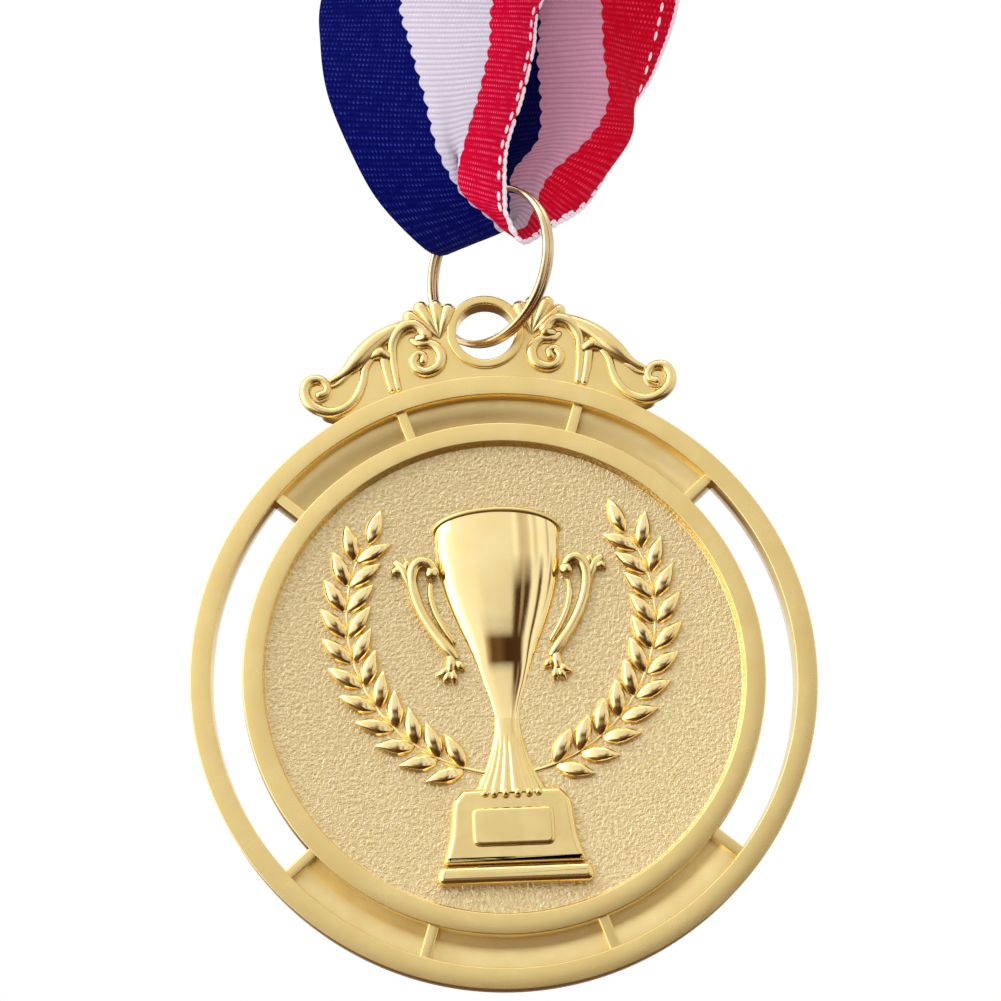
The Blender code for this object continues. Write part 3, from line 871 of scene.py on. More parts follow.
@dataclass
class Trophy(CastPart):
    """Two-handled cup on a pedestal, in relief on the field."""

    slope: float = -0.015
    depth: float = 0.30
    mouth_bulge: float = 0.28
    mouth_level: float = 15.3
    bulge_root: float = -8.0
    around: int = 64
    sweep: Pair = (math.radians(-8), math.radians(196))
    lip_half_width: float = 6.62
    lip_radius: float = 0.32
    lip_sink: float = 0.12
    lip_steps: int = 12
    flutes: int = 9
    flute_depth: float = 0.13
    flute_start: float = -6.0
    flute_run: float = 2.5
    flute_sharpness: float = 0.6
    hem_half_width: float = 3.55
    hem_level: float = -12.72
    hem_sag: float = 0.05
    hem_depth: float = 0.45
    bead_rise: float = 0.2
    bead_radius: float = 0.44
    body_front: float = 1.65
    plinth_front: float = 1.95
    block_bevel: float = 0.68
    plaque_levels: Pair = (1.3, 2.1)
    plaque_bevel: float = 0.42
    handle_level: float = 0.82
    handle_girth: float = 1.35

    # Half width, height and depth for each millimetre of half width.
    CUP = ((6.55, 15.3, 0.30), (6.55, 13.4, 0.30), (6.35, 11.0, 0.30), (5.85, 8.6, 0.30),
           (5.1, 6.3, 0.30), (4.35, 4.4, 0.30), (3.75, 3.0, 0.295), (3.2, 1.7, 0.262),
           (2.7, 0.4, 0.218), (2.2, -1.1, 0.20), (1.65, -2.8, 0.22), (1.32, -4.3, 0.26),
           (1.25, -5.3, 0.30), (1.3, -6.4, 0.34))
    FOOT = ((1.3, -5.0, 0.34), (1.42, -6.4, 0.40), (1.6, -7.6, 0.46), (1.95, -9.0, 0.48),
            (2.5, -10.4, 0.46), (3.1, -11.6, 0.45), (3.45, -12.3, 0.45), (3.5, -12.6, 0.45))
    # Right side of the pedestal, and the outlines of its plinth and plaque.
    PEDESTAL = ((7.4, -20.0), (6.9, -18.7), (6.45, -17.0), (6.25, -15.2), (6.1, -13.6),
                (5.4, -12.8), (4.9, -12.3))
    PLINTH = ((8.0, -21.4), (7.8, -20.6), (7.4, -20.1), (-7.4, -20.1), (-7.8, -20.6),
              (-8.0, -21.4), (-7.6, -22.0), (7.6, -22.0))
    PLAQUE = ((4.2, -14.3), (-4.2, -14.3), (-4.2, -18.25), (4.2, -18.25))
    # Strands of the right handle: place, rise over the handle's level and radius.
    HANDLE = (
        ((7.05, 11.2, 0.2, 0.40), (7.5, 11.75, 0.35, 0.46), (8.2, 11.95, 0.35, 0.50),
         (8.95, 11.3, 0.3, 0.50), (9.15, 9.8, 0.2, 0.46), (8.85, 8.0, 0.15, 0.44),
         (8.1, 6.1, 0.1, 0.42), (7.0, 4.2, 0.1, 0.42), (5.9, 2.7, 0.1, 0.46), (5.15, 1.7, 0, 0.42)),
        ((6.95, 10.75, 0.35, 0.5), (7.1, 10.65, 0.4, 0.52)),
        ((7.25, 9.6, -0.1, 0.2), (7.3, 8.3, 0, 0.24), (6.9, 6.6, 0, 0.24), (6.1, 4.9, 0, 0.24),
         (5.1, 3.3, -0.1, 0.2)),
        ((9.3, 9.3, 0, 0.26), (9.7, 10.3, 0.15, 0.34), (10.1, 11.3, 0.2, 0.36),
         (10.75, 11.95, 0.1, 0.3)),
        ((9.9, 10.8, 0.2, 0.2), (9.6, 11.7, 0.3, 0.34), (9.75, 12.2, 0.2, 0.2)),
        ((10.1, 10.9, 0.1, 0.2), (10.8, 11.1, 0.2, 0.34), (11.15, 10.8, 0, 0.2)),
        ((5.4, 2.0, 0, 0.3), (5.5, 1.0, 0.15, 0.42), (5.6, 0.3, 0.1, 0.36)),
        ((5.5, 0.7, 0, 0.2), (6.2, 0.1, 0.15, 0.34), (6.8, -0.15, 0, 0.22)),
        ((5.5, 0.5, 0, 0.2), (5.9, -0.4, 0.15, 0.34), (6.2, -0.85, 0, 0.2)),
        ((5.4, 0.5, 0, 0.2), (5.3, -0.4, 0.15, 0.34), (5.25, -0.95, 0, 0.2)),
        ((5.1, 1.2, 0, 0.2), (4.6, 0.7, 0.15, 0.34), (4.35, 0.35, 0, 0.22)),
    )

    def relief(self, name: str, form: Form, sharp: float = 40.0) -> Piece:
        """Turn a mesh into a piece whose level lines run downhill to the right."""
        for vert in form.verts:
            vert.co.y += self.slope * vert.co.x
        return new_piece(name, form, self.layout.plan, sharp)

    def bulge(self, height: float) -> float:
        """Return how far a level line rises for each millimetre it stands out from the field."""
        share = (height - self.bulge_root) / (self.mouth_level - self.bulge_root)
        return self.mouth_bulge * share

    def half_round(self, form: Form, profile: Sequence[Knot],
                   flute: Callable[[float, float], float] = lambda height, turn: 0.0) -> None:
        """Add a turned shape cut in half by the field.

        Args:
            form: The mesh to add to.
            profile: Knots of (half width, height, depth for each millimetre of half width).
            flute: Share by which the surface stands out, from a row's height and angle.
        """
        rows = []
        for half, height, depth in smooth_path(profile, 6):
            row = []
            for k in range(self.around + 1):
                turn = self.sweep[0] + self.sweep[1] * k / self.around
                swell = 1.0 + flute(height, turn)
                lift = half * math.sin(turn) * swell
                row.append(form.verts.new((half * math.cos(turn) * swell,
                                           height + self.bulge(height) * lift,
                                           self.field_level + depth * lift)))
            rows.append(row)
        loft(form, rows, caps=True)

    def cup(self) -> Piece:
        """Build the polished cup with its stem."""
        form = bmesh.new()
        self.half_round(form, self.CUP)
        return self.relief("trophy_cup", form)

    def lip(self) -> Piece:
        """Build the rolled lip round the cup's mouth."""
        form = bmesh.new()
        knots = []
        for k in range(self.lip_steps + 1):
            turn = self.sweep[0] / 2 + (self.sweep[0] + self.sweep[1]) * k / self.lip_steps
            lift = self.lip_half_width * math.sin(turn)
            knots.append((self.lip_half_width * math.cos(turn),
                          self.mouth_level + self.mouth_bulge * lift,
                          self.field_level + self.depth * lift - self.lip_sink, self.lip_radius))
        add_tube(form, knots, per_span=5, sides=12)
        return self.relief("trophy_lip", form)

    def flute(self, height: float, turn: float) -> float:
        """Return how far the foot stands out: its flutes deepen towards the hem."""
        grow = min(max((self.flute_start - height) / self.flute_run, 0.0), 1.0)
        wave = abs(math.cos(self.flutes * turn)) ** self.flute_sharpness
        return self.flute_depth * grow * (wave - 0.5)

    def foot(self) -> Piece:
        """Build the fluted foot with its beaded hem."""
        form = bmesh.new()
        self.half_round(form, self.FOOT, self.flute)
        for k in range(self.flutes + 1):
            turn = math.pi * k / self.flutes
            lift = self.hem_half_width * math.sin(turn)
            place = Vector((self.hem_half_width * math.cos(turn),
                            self.hem_level - self.hem_sag * lift,
                            self.field_level + self.bead_rise + self.hem_depth * lift))
            bead = bmesh.ops.create_uvsphere(form, u_segments=12, v_segments=8,
                                             radius=self.bead_radius)
            bmesh.ops.translate(form, verts=bead["verts"], vec=place)
        return self.relief("trophy_foot", form)

    def pedestal(self) -> Piece:
        """Build the stepped pedestal."""
        form = bmesh.new()
        body = [*self.PEDESTAL, *((-x, y) for x, y in reversed(self.PEDESTAL))]
        for outline, radius, front in ((body, 0.6, self.body_front),
                                       (self.PLINTH, 0.5, self.plinth_front)):
            add_block(form, rounded(outline, radius, 4), 0.0, front, self.block_bevel)
        return self.relief("trophy_pedestal", form, 50.0)

    def plaque(self) -> Piece:
        """Build the blank raised plaque on the pedestal."""
        form = bmesh.new()
        add_block(form, rounded(self.PLAQUE, 0.9, 6), *self.plaque_levels, self.plaque_bevel)
        return self.relief("trophy_plaque", form)

    def handles(self) -> Piece:
        """Build the two scrolled handles with their sprigs."""
        form = bmesh.new()
        for hand in (Side.RIGHT.value, Side.LEFT.value):
            for strand in self.HANDLE:
                add_tube(form, [(hand * x, y, self.handle_level + rise, radius * self.handle_girth)
                                for x, y, rise, radius in strand], 5, 12)
        return self.relief("trophy_handles", form)

    def build(self) -> None:
        """Build and dress the trophy."""
        relief = self.palette.relief
        self.cast((self.cup(), self.palette.mirror), (self.lip(), self.palette.satin),
                  (self.foot(), relief), (self.pedestal(), relief), (self.plaque(), relief),
                  (self.handles(), relief))


@dataclass
class LaurelWreath(CastPart):
    """Two laurel branches, whose rows of leaves are set out by Geometry Nodes."""

    arc_x: float = -0.92
    arc_y: float = 6.26
    row_radii: Pair = (18.5, 15.75)
    stem_radius: float = 17.1
    first_angle: float = math.radians(27.2)
    step: float = math.radians(9.3)
    leaves: int = 11
    splay: float = math.radians(38.0)
    leaf_length: float = 4.3
    leaf_width: float = 1.92
    leaf_height: float = 0.95
    midrib: float = 0.10
    leaf_foot: Pair = (0.8, -0.25)
    leaf_lift: float = 0.05
    fullness: float = 0.85
    swell: float = 0.6
    leaf_rows: int = 16
    leaf_columns: int = 12
    pitch: float = math.radians(-7)
    stem_run: float = 1.6
    stem_steps: int = 10
    stem_sink: float = 0.04
    stem_radii: Pair = (0.10, 0.018)
    stem_end: Knot = (3.0, -11.9, 0.15, 0.36)
    tip_place: Pair = (12.8, 16.4)
    tip_lean: float = math.radians(20)

    def leaf(self) -> Form:
        """Build one plump leaf with a raised midrib, pointing along X from its middle."""
        form = bmesh.new()
        rows = []
        for i in range(self.leaf_rows + 1):
            s = (1 - math.cos(math.pi * i / self.leaf_rows)) / 2
            x = self.leaf_length * (s - 0.5)
            half = self.leaf_width / 2 * math.sin(math.pi * s ** self.fullness) ** self.fullness
            if i in (0, self.leaf_rows):
                rows.append(row_of(form, [(x, 0.0, 0.0)]))
                continue
            row = []
            for k in range(self.leaf_columns + 1):
                t = math.sin(math.pi * (k / self.leaf_columns - 0.5))
                crown = math.sqrt(max(1 - t * t, 0.0)) - self.midrib * (1 - abs(t)) ** 3
                rise = self.leaf_height * crown * math.sin(math.pi * s) ** self.swell
                row.append((x, half * t, self.leaf_lift + rise))
            share, low = self.leaf_foot
            row += [(x, half * t, low) for t in (share, -share)]
            rows.append(row_of(form, row))
        loft(form, rows)
        return form

    def row_tree(self) -> Tree:
        """Build the tree that sets copies of a leaf along an arc.

        Returns:
            A Geometry Nodes tree with a named input for each size.
        """
        sizes = ("Arc Radius", "Arc X", "Arc Y", "First Angle", "Angle Step", "Splay", "Side",
                 "Level")
        wiring, given = begin_tree("laurel_row", {
            "Count": "Int", **dict.fromkeys(sizes, "Float"), "Finish": "Material"})
        index = wiring.node("GeometryNodeInputIndex").outputs[0]
        turn = wiring.math("SUBTRACT", given["First Angle"],
                           wiring.times(index, given["Angle Step"]))
        x, y = (wiring.add(given[middle], wiring.times(given["Arc Radius"], wiring.math(way, turn)))
                for middle, way in (("Arc X", "COSINE"), ("Arc Y", "SINE")))
        heading = wiring.add(math.pi / 2, wiring.times(
            given["Side"], wiring.add(turn, given["Splay"])))
        place = wiring.node("ShaderNodeCombineXYZ", {
            0: wiring.times(given["Side"], x), 1: y, 2: given["Level"]}).outputs[0]
        points = wiring.node("GeometryNodePoints", {"Count": given["Count"], "Position": place})
        euler = wiring.node("ShaderNodeCombineXYZ", {1: self.pitch, 2: heading}).outputs[0]
        rotation = wiring.node("FunctionNodeEulerToRotation", {0: euler}).outputs[0]
        return end_tree(wiring, {"Points": points.outputs[0], "Instance": given["Geometry"],
                                 "Rotation": rotation}, given["Finish"])

    def leaves_piece(self, tree: Tree) -> Piece:
        """Set out every leaf and join them into one mesh.

        Args:
            tree: The tree from row_tree().

        Returns:
            The leaves as one object.
        """
        whole = bmesh.new()
        for side in Side:
            for radius, splay in zip(self.row_radii, (-self.splay, self.splay)):
                base = new_piece("leaf_row", self.leaf(), Matrix.Identity(4))
                values = {"Count": self.leaves, "Arc Radius": radius, "Arc X": self.arc_x,
                          "Arc Y": self.arc_y, "First Angle": self.first_angle,
                          "Angle Step": self.step, "Splay": splay, "Side": float(side.value),
                          "Level": self.field_level, "Finish": self.palette.leaf}
                mesh = evaluated(base, tree, values)
                whole.from_mesh(mesh)
                bpy.data.meshes.remove(mesh)
            tip = self.leaf()
            x, y = self.tip_place
            place = Matrix.Translation((side.value * x, y, self.field_level))
            turn = Matrix.Rotation(math.pi / 2 + side.value * self.tip_lean, 4, "Z")
            bmesh.ops.transform(tip, matrix=place @ turn, verts=tip.verts)
            merge(whole, tip)
        for face in whole.faces:
            face.material_index = 0
        return new_piece("laurel_leaves", whole, self.layout.plan, 60.0)

    def stems(self) -> Piece:
        """Build the two stems that the leaves grow from."""
        form = bmesh.new()
        last = self.first_angle - self.step * (self.leaves + self.stem_run)
        thin, growth = self.stem_radii
        x, y, rise, thick = self.stem_end
        for side in Side:
            knots = []
            for k in range(self.stem_steps + 1):
                turn = self.first_angle + (last - self.first_angle) * k / self.stem_steps
                knots.append((side.value * (self.arc_x + self.stem_radius * math.cos(turn)),
                              self.arc_y + self.stem_radius * math.sin(turn),
                              self.field_level - self.stem_sink, thin + growth * k))
            knots.append((side.value * x, y, self.field_level + rise, thick))
            add_tube(form, knots, 5, 10)
        return new_piece("laurel_stems", form, self.layout.plan)

    def build(self) -> None:
        """Build and dress the wreath."""
        leaf = self.palette.leaf
        self.cast((self.leaves_piece(self.row_tree()), leaf), (self.stems(), leaf))


@dataclass
class ScrolledCrest(CastPart):
    """Baroque crest over the rim with the eye that takes the ring."""

    front: float = 0.9
    back: float = -1.2
    bevel: float = 0.2
    eye_radii: Pair = (3.2, 4.25)
    eye_half_thick: float = 1.25
    eye_edge: float = 0.28
    hole_radius: float = 3.8
    curl_centre: Pair = (18.3, 31.8)
    flatness: float = 0.85
    girths: Pair = (1.28, 0.95)
    slim_from: float = 14.2
    boss_radii: Pair = (1.5, 1.9)
    shell_root: Knot = (5.0, 37.4, -0.1, 0.16)
    shell_belly: Knot = (0.55, 0.12, 0.48)
    shell_tip: Knot = (0.05, 0.64)

    # Right half of the outline: its top edge and its bottom edge.
    TOP = ((3.0, 40.4), (3.9, 41.2), (4.8, 41.1), (5.5, 41.6), (6.3, 41.2), (6.9, 41.5),
           (7.5, 40.8), (8.2, 40.4), (8.7, 39.8), (10.5, 39.1), (12.5, 37.5), (14.3, 35.6),
           (15.6, 34.2), (16.6, 33.2), (17.6, 32.8), (18.2, 29.6), (16.9, 28.7))
    BOTTOM = ((15.0, 28.9), (13.2, 29.5), (8.0, 31.2), (3.0, 32.0))
    LOBES = ((8.1, 39.9), (6.9, 40.9), (5.3, 41.0), (3.9, 40.5))
    # Strands of the right half: place, rise over the plate's front and radius.
    STRANDS = (
        # Roof leaf along the outline.
        ((8.3, 39.3, 0, 0.30), (10.2, 38.3, 0.1, 0.62), (12.2, 36.9, 0.1, 0.80),
         (14.0, 35.1, 0.1, 0.78), (15.5, 33.7, 0, 0.62), (16.9, 32.9, 0, 0.36)),
        # C-scroll with its bulb.
        ((9.7, 31.7, 0, 0.30), (10.0, 33.6, 0, 0.34), (10.15, 35.4, 0.05, 0.40),
         (10.1, 37.0, 0.15, 0.48), (9.2, 38.4, 0.25, 0.56), (7.9, 38.9, 0.3, 0.58),
         (6.9, 38.3, 0.3, 0.55), (6.6, 37.5, 0.3, 0.62), (7.3, 37.3, 0.2, 0.40)),
        # Lower scroll.
        ((8.0, 37.2, 0, 0.30), (7.2, 36.7, 0.1, 0.40), (6.1, 36.7, 0.1, 0.44),
         (5.2, 36.1, 0.15, 0.48), (4.9, 35.0, 0.15, 0.50), (5.4, 33.9, 0.15, 0.50),
         (6.6, 33.4, 0.15, 0.48), (7.6, 33.8, 0.2, 0.44), (8.0, 34.7, 0.2, 0.40),
         (7.5, 35.5, 0.2, 0.36), (6.8, 35.3, 0.2, 0.34), (6.9, 34.7, 0.2, 0.36)),
        # Straight flute.
        ((10.4, 31.6, 0, 0.34), (10.8, 33.2, 0, 0.40), (11.1, 34.9, 0, 0.46)),
        # Knob and the short band of the comma leaf.
        ((10.9, 35.5, 0.2, 0.46), (11.6, 35.8, 0.25, 0.56), (12.4, 35.5, 0.15, 0.42)),
        ((14.3, 34.3, 0, 0.26), (15.3, 33.3, 0.05, 0.32), (16.2, 32.5, 0, 0.30),
         (17.0, 32.2, 0, 0.26)),
        # Long band from the knob down and round the end curl.
        ((12.4, 35.4, 0, 0.32), (13.2, 34.1, 0.1, 0.35), (13.5, 32.6, 0.1, 0.37),
         (14.1, 31.1, 0.1, 0.40), (15.2, 29.9, 0.1, 0.54), (16.8, 29.25, 0.15, 0.62),
         (18.4, 29.6, 0.25, 0.68), (19.5, 30.6, 0.3, 0.68), (19.8, 31.9, 0.3, 0.64),
         (19.2, 32.9, 0.3, 0.60), (18.1, 33.0, 0.3, 0.54), (17.4, 32.3, 0.3, 0.48),
         (17.5, 31.5, 0.3, 0.44), (18.2, 31.2, 0.35, 0.50)),
    )

    def plate(self) -> Piece:
        """Build the crest's back plate with its scalloped outline."""
        form = bmesh.new()
        hole = [(0.0, 32.2)]
        for angle in range(-90, 41, 10):
            turn = math.radians(angle)
            hole.append((self.hole_radius * math.cos(turn),
                         self.layout.eye_height + self.hole_radius * math.sin(turn)))
        right = [*smooth_path(self.TOP, 4), *self.BOTTOM, *hole]
        for hand in (Side.RIGHT.value, Side.LEFT.value):
            outline = right[::-1] if hand > 0 else right
            rows = []
            for z, inset in ((self.back, 0.0), (self.front - self.bevel, 0.0),
                             (self.front, self.bevel)):
                rows.append(row_of(form, ((hand * (x - (inset if x > 1 else 0.0)), y, z)
                                          for x, y in outline)))
            loft(form, rows, caps=True)
        return new_piece("crest_plate", form, self.layout.plan)

    def scrolls(self) -> Piece:
        """Build the raised scrolls, leaves, flutes and end curls."""
        form = bmesh.new()
        strands = list(self.STRANDS)
        root_x, root_y = self.shell_root[:2]
        share, *belly = self.shell_belly
        for x, y in self.LOBES:
            middle = (root_x + (x - root_x) * share, root_y + (y - root_y) * share)
            strands.append((self.shell_root, (*middle, *belly), (x, y, *self.shell_tip)))
        wide, slim = self.girths
        curl_x, curl_y = self.curl_centre
        for hand in (Side.RIGHT.value, Side.LEFT.value):
            for strand in strands:
                add_tube(form, [(hand * x, y, self.front + rise,
                                 radius * (wide if x < self.slim_from else slim))
                                for x, y, rise, radius in strand], 6, 14, self.flatness)
            boss = bmesh.new()
            top, foot = self.boss_radii
            profile = [(0.0, 1.0), (top, 1.0), (foot, self.back), (0.0, self.back)]
            add_lathe(boss, rounded(profile, 0.3, closed=False), 32, False)
            bmesh.ops.translate(boss, verts=boss.verts, vec=(hand * curl_x, curl_y, 0.0))
            merge(form, boss)
        return new_piece("crest_scrolls", form, self.layout.plan)

    def eye(self) -> Piece:
        """Build the round eye."""
        form = bmesh.new()
        inner, outer = self.eye_radii
        high = self.eye_half_thick
        profile = [(inner, high), (outer, high), (outer, -high), (inner, -high)]
        add_lathe(form, rounded(profile, self.eye_edge, 5), 96, True)
        bmesh.ops.translate(form, verts=form.verts, vec=(0.0, self.layout.eye_height, 0.0))
        return new_piece("eye", form, self.layout.plan)

    def build(self) -> None:
        """Build and dress the crest."""
        eye = self.eye()
        dress_steep(eye, self.palette.satin, self.palette.leaf)
        self.cast((self.plate(), self.palette.satin), (self.scrolls(), self.palette.scroll),
                  (eye, self.palette.satin))


# -------------------------------------------------------------------------------- ring, ribbon


@dataclass
class SplitRing:
    """Split ring: two turns of wire side by side, in hanging millimetres."""

    layout: Layout
    palette: Palette
    radius: float = 8.82
    wire_radius: float = 0.365
    offset: float = 0.385
    yaw: float = math.radians(45.0)
    start: float = math.radians(120.0)
    end: float = math.radians(810.0)
    crossing: float = math.radians(20.0)
    steps: int = 176

    def build(self) -> None:
        """Build and dress the ring."""
        top = (self.layout.ring_top - self.layout.disc) / MM
        normal = Vector((math.sin(self.yaw), math.cos(self.yaw), 0.0))
        across = Vector((math.cos(self.yaw), -math.sin(self.yaw), 0.0))
        centre = top - Vector((0, 0, self.radius))
        middle = (self.start + self.end) / 2
        knots = []
        for i in range(self.steps + 1):
            turn = self.start + (self.end - self.start) * i / self.steps
            share = min(max((turn - middle + self.crossing) / (2 * self.crossing), 0.0), 1.0)
            side = self.offset * (2 * share * share * (3 - 2 * share) - 1)
            place = centre + across * (self.radius * math.cos(turn)) + normal * side
            place.z += self.radius * math.sin(turn)
            knots.append((*place, self.wire_radius))
        form = bmesh.new()
        add_tube(form, knots, per_span=1, sides=16, facing=normal)
        piece = new_piece("split_ring_wire", form, self.layout.hanging)
        settle(piece, self.palette.wire, "ring", "pale_gold_wire", "split_ring")


@dataclass
class NeckRibbon:
    """Woven ribbon as one sheet: two strands, the bight through the ring and the wound rest.

    Each row of a route holds the places of the threads listed in THREADS, in hanging
    millimetres, and the rows follow each other along the ribbon.
    """

    layout: Layout
    palette: Palette
    width: float = 30.0
    length: float = 850.0
    thickness: float = 0.3
    columns: int = 48
    row_step: float = 0.75
    roll_step: float = 1.6
    roll_radius: float = 10.55
    core_radius: float = 2.2
    layer: float = 0.435
    roll_clearance: float = 0.25
    exit_drop: float = 8.4
    front_exit: Pair = (-2.6, -0.1)
    back_exit: Pair = (4.0, 0.9)
    loop_pitch: float = 1.0
    loop_size: Triple = (1.5, 0.72, 0.5)
    dash_inset: float = 1.4
    dash_pitch: float = 2.0
    dash_lift: float = 0.16
    dash_size: Triple = (1.2, 0.42, 0.22)
    seam_size: Triple = (0.95, 0.3, 0.2)
    seam_turns: Pair = (0.74, 0.24)
    seam_length: float = 26.2
    seam_stitches: int = 22
    stitch_lift: float = 0.06

    THREADS = (0.0, 10.0, 15.0, 20.0, 25.0, 30.0)
    ROUTE = (
        # Front strand, downwards.
        ((-16.2, -6.5, 76.6), (-7.3, -8.5, 75.4), (-2.2, -8.8, 75.0), (2.9, -8.0, 75.1),
         (6.3, -6.6, 75.9), (8.8, -4.6, 77.0)),
        ((-16.6, -6.0, 70.8), (-6.6, -8.2, 68.9), (-2.4, -8.5, 68.5), (2.0, -8.0, 68.8),
         (4.9, -6.6, 69.2), (6.9, -4.8, 69.7)),
        ((-16.0, -5.5, 64.8), (-5.3, -7.8, 62.6), (-2.4, -8.0, 62.5), (0.5, -7.8, 62.9),
         (3.3, -6.6, 63.2), (5.3, -5.0, 63.8)),
        ((-13.8, -4.5, 58.5), (-4.2, -7.0, 56.8), (-2.6, -6.8, 57.1), (-1.3, -7.4, 57.3),
         (1.2, -6.8, 57.2), (3.2, -5.5, 57.3)),
        ((-11.0, -2.5, 53.3), (-1.8, -5.2, 52.3), (0.1, -3.2, 54.5), (-2.0, -6.6, 52.5),
         (0.4, -6.6, 51.4), (2.7, -6.0, 50.8)),
        # Bight through the ring.
        ((-6.6, 1.5, 49.6), (1.0, -4.0, 50.0), (2.3, -2.5, 51.8), (1.3, -5.6, 49.3),
         (2.1, -6.1, 48.8), (2.9, -6.0, 48.9)),
        ((-4.4, 3.7, 49.2), (2.3, -2.8, 48.8), (2.8, -2.0, 50.0), (2.9, -4.4, 48.1),
         (3.6, -5.0, 47.2), (4.2, -5.2, 46.6)),
        ((-3.0, 4.9, 50.4), (3.4, -0.8, 50.8), (4.2, -1.2, 51.0), (5.0, -2.6, 49.2),
         (5.4, -3.4, 48.2), (5.7, -4.0, 47.3)),
        # Back strand, upwards.
        ((-2.2, 5.4, 52.4), (3.7, 0.4, 53.0), (5.0, -0.4, 53.0), (6.2, -1.4, 52.0),
         (7.2, -1.6, 50.6), (8.1, -1.6, 49.8)),
        ((-1.0, 4.4, 56.4), (4.2, 0.8, 57.4), (6.6, 0.2, 57.4), (8.2, -0.4, 56.4),
         (11.4, 0.4, 54.4), (12.6, 2.2, 54.4)),
        ((0.6, 2.8, 61.6), (7.3, 1.0, 61.6), (10.0, 0.3, 61.6), (13.0, -0.2, 61.0),
         (17.2, 1.8, 61.2), (17.0, 4.0, 62.4)),
        ((-0.4, 1.8, 66.6), (7.9, 1.0, 66.6), (11.6, 0.4, 66.2), (15.4, -0.2, 65.4),
         (18.3, 2.4, 66.2), (18.6, 4.2, 66.8)),
        ((-1.0, 0.4, 71.4), (7.8, 0.0, 71.4), (11.6, -0.6, 71.2), (15.2, -1.4, 70.8),
         (18.0, 1.4, 71.4), (21.6, 4.4, 71.9)),
        ((-1.6, -3.0, 78.4), (8.1, -2.6, 78.3), (11.8, -2.8, 78.0), (15.2, -3.0, 77.6),
         (18.4, -1.2, 78.4), (24.4, 0.6, 78.6)),
    )

    def straight_row(self, shift: float, depth: float, height: float) -> list[Vector]:
        """Return a straight row of threads, shifted sideways from the roll's middle."""
        left = self.roll_middle.x + shift - self.width / 2
        return [Vector((left + u, depth, height)) for u in self.THREADS]

    @property
    def roll_middle(self) -> Vector:
        """Middle of the roll, in hanging millimetres."""
        middle = (self.layout.roll_low + self.layout.roll_high) / 2 - self.layout.disc
        top = (self.layout.roll_high.z - self.layout.disc.z) / MM
        return Vector((middle.x / MM, 0.0, top - self.roll_radius - self.roll_clearance))

    def across(self, threads: Sequence[Vector]) -> list[Vector]:
        """Read one row at every column, through its threads by a smooth curve.

        Args:
            threads: The places of the threads listed in THREADS.

        Returns:
            One place for each column edge.
        """
        slopes = []
        last = len(threads) - 1
        for i in range(last + 1):
            low, high = max(i - 1, 0), min(i + 1, last)
            slopes.append((threads[high] - threads[low]) / (self.THREADS[high] - self.THREADS[low]))
        row = []
        for k in range(self.columns + 1):
            u = self.width * k / self.columns
            i = max(j for j in range(last) if self.THREADS[j] <= u)
            gap = self.THREADS[i + 1] - self.THREADS[i]
            t = (u - self.THREADS[i]) / gap
            row.append(threads[i] * (2 * t ** 3 - 3 * t ** 2 + 1)
                       + slopes[i] * gap * (t ** 3 - 2 * t ** 2 + t)
                       + threads[i + 1] * (3 * t ** 2 - 2 * t ** 3)
                       + slopes[i + 1] * gap * (t ** 3 - t ** 2))
        return row

    def strands(self) -> list[list[Vector]]:
        """Return evenly spaced rows of threads down one strand and up the other."""
        front, middle = -self.roll_radius, self.roll_middle.z
        (front_shift, front_step), (back_shift, back_step) = self.front_exit, self.back_exit
        rows = [self.straight_row(0.0, front, middle),
                self.straight_row(front_shift, front + front_step, middle - self.exit_drop),
                *([Vector(p) for p in row] for row in self.ROUTE),
                self.straight_row(back_shift, front + back_step, middle - self.exit_drop),
                self.straight_row(0.0, front + self.layer, middle)]
        knots = [tuple(value for place in row for value in place) for row in rows]
        fine = smooth_path(knots, 24)
        centre = [Vector(knot[6:9]) for knot in fine]
        runs = [0.0]
        for first, second in zip(centre, centre[1:]):
            runs.append(runs[-1] + (second - first).length)
        count = round(runs[-1] / self.row_step)
        picked, at = [], 0
        for i in range(count + 1):
            goal = runs[-1] * i / count
            while at < len(runs) - 2 and runs[at + 1] < goal:
                at += 1
            t = (goal - runs[at]) / max(runs[at + 1] - runs[at], TINY)
            values = [a + (b - a) * t for a, b in zip(fine[at], fine[at + 1])]
            picked.append([Vector(values[k:k + 3]) for k in range(0, len(values), 3)])
        return picked

    def wound_radius(self, angle: float) -> float:
        """Return the radius of the outer layer after winding through an angle."""
        return self.roll_radius - self.layer * angle / math.pi

    def turns(self) -> list[list[Vector]]:
        """Return the rows of the doubled ribbon, wound inwards and back outwards."""
        middle = self.roll_middle
        inwards, outwards = [], []
        angle = 0.0
        while self.wound_radius(angle) > self.core_radius:
            radius = self.wound_radius(angle)
            for rows, step in ((inwards, 0.0), (outwards, self.layer)):
                depth = -(radius - step) * math.cos(angle)
                rise = (radius - step) * math.sin(angle)
                rows.append(self.straight_row(0.0, depth, middle.z + rise))
            angle += self.roll_step / max(radius, 4.0)
        return inwards + outwards[::-1]

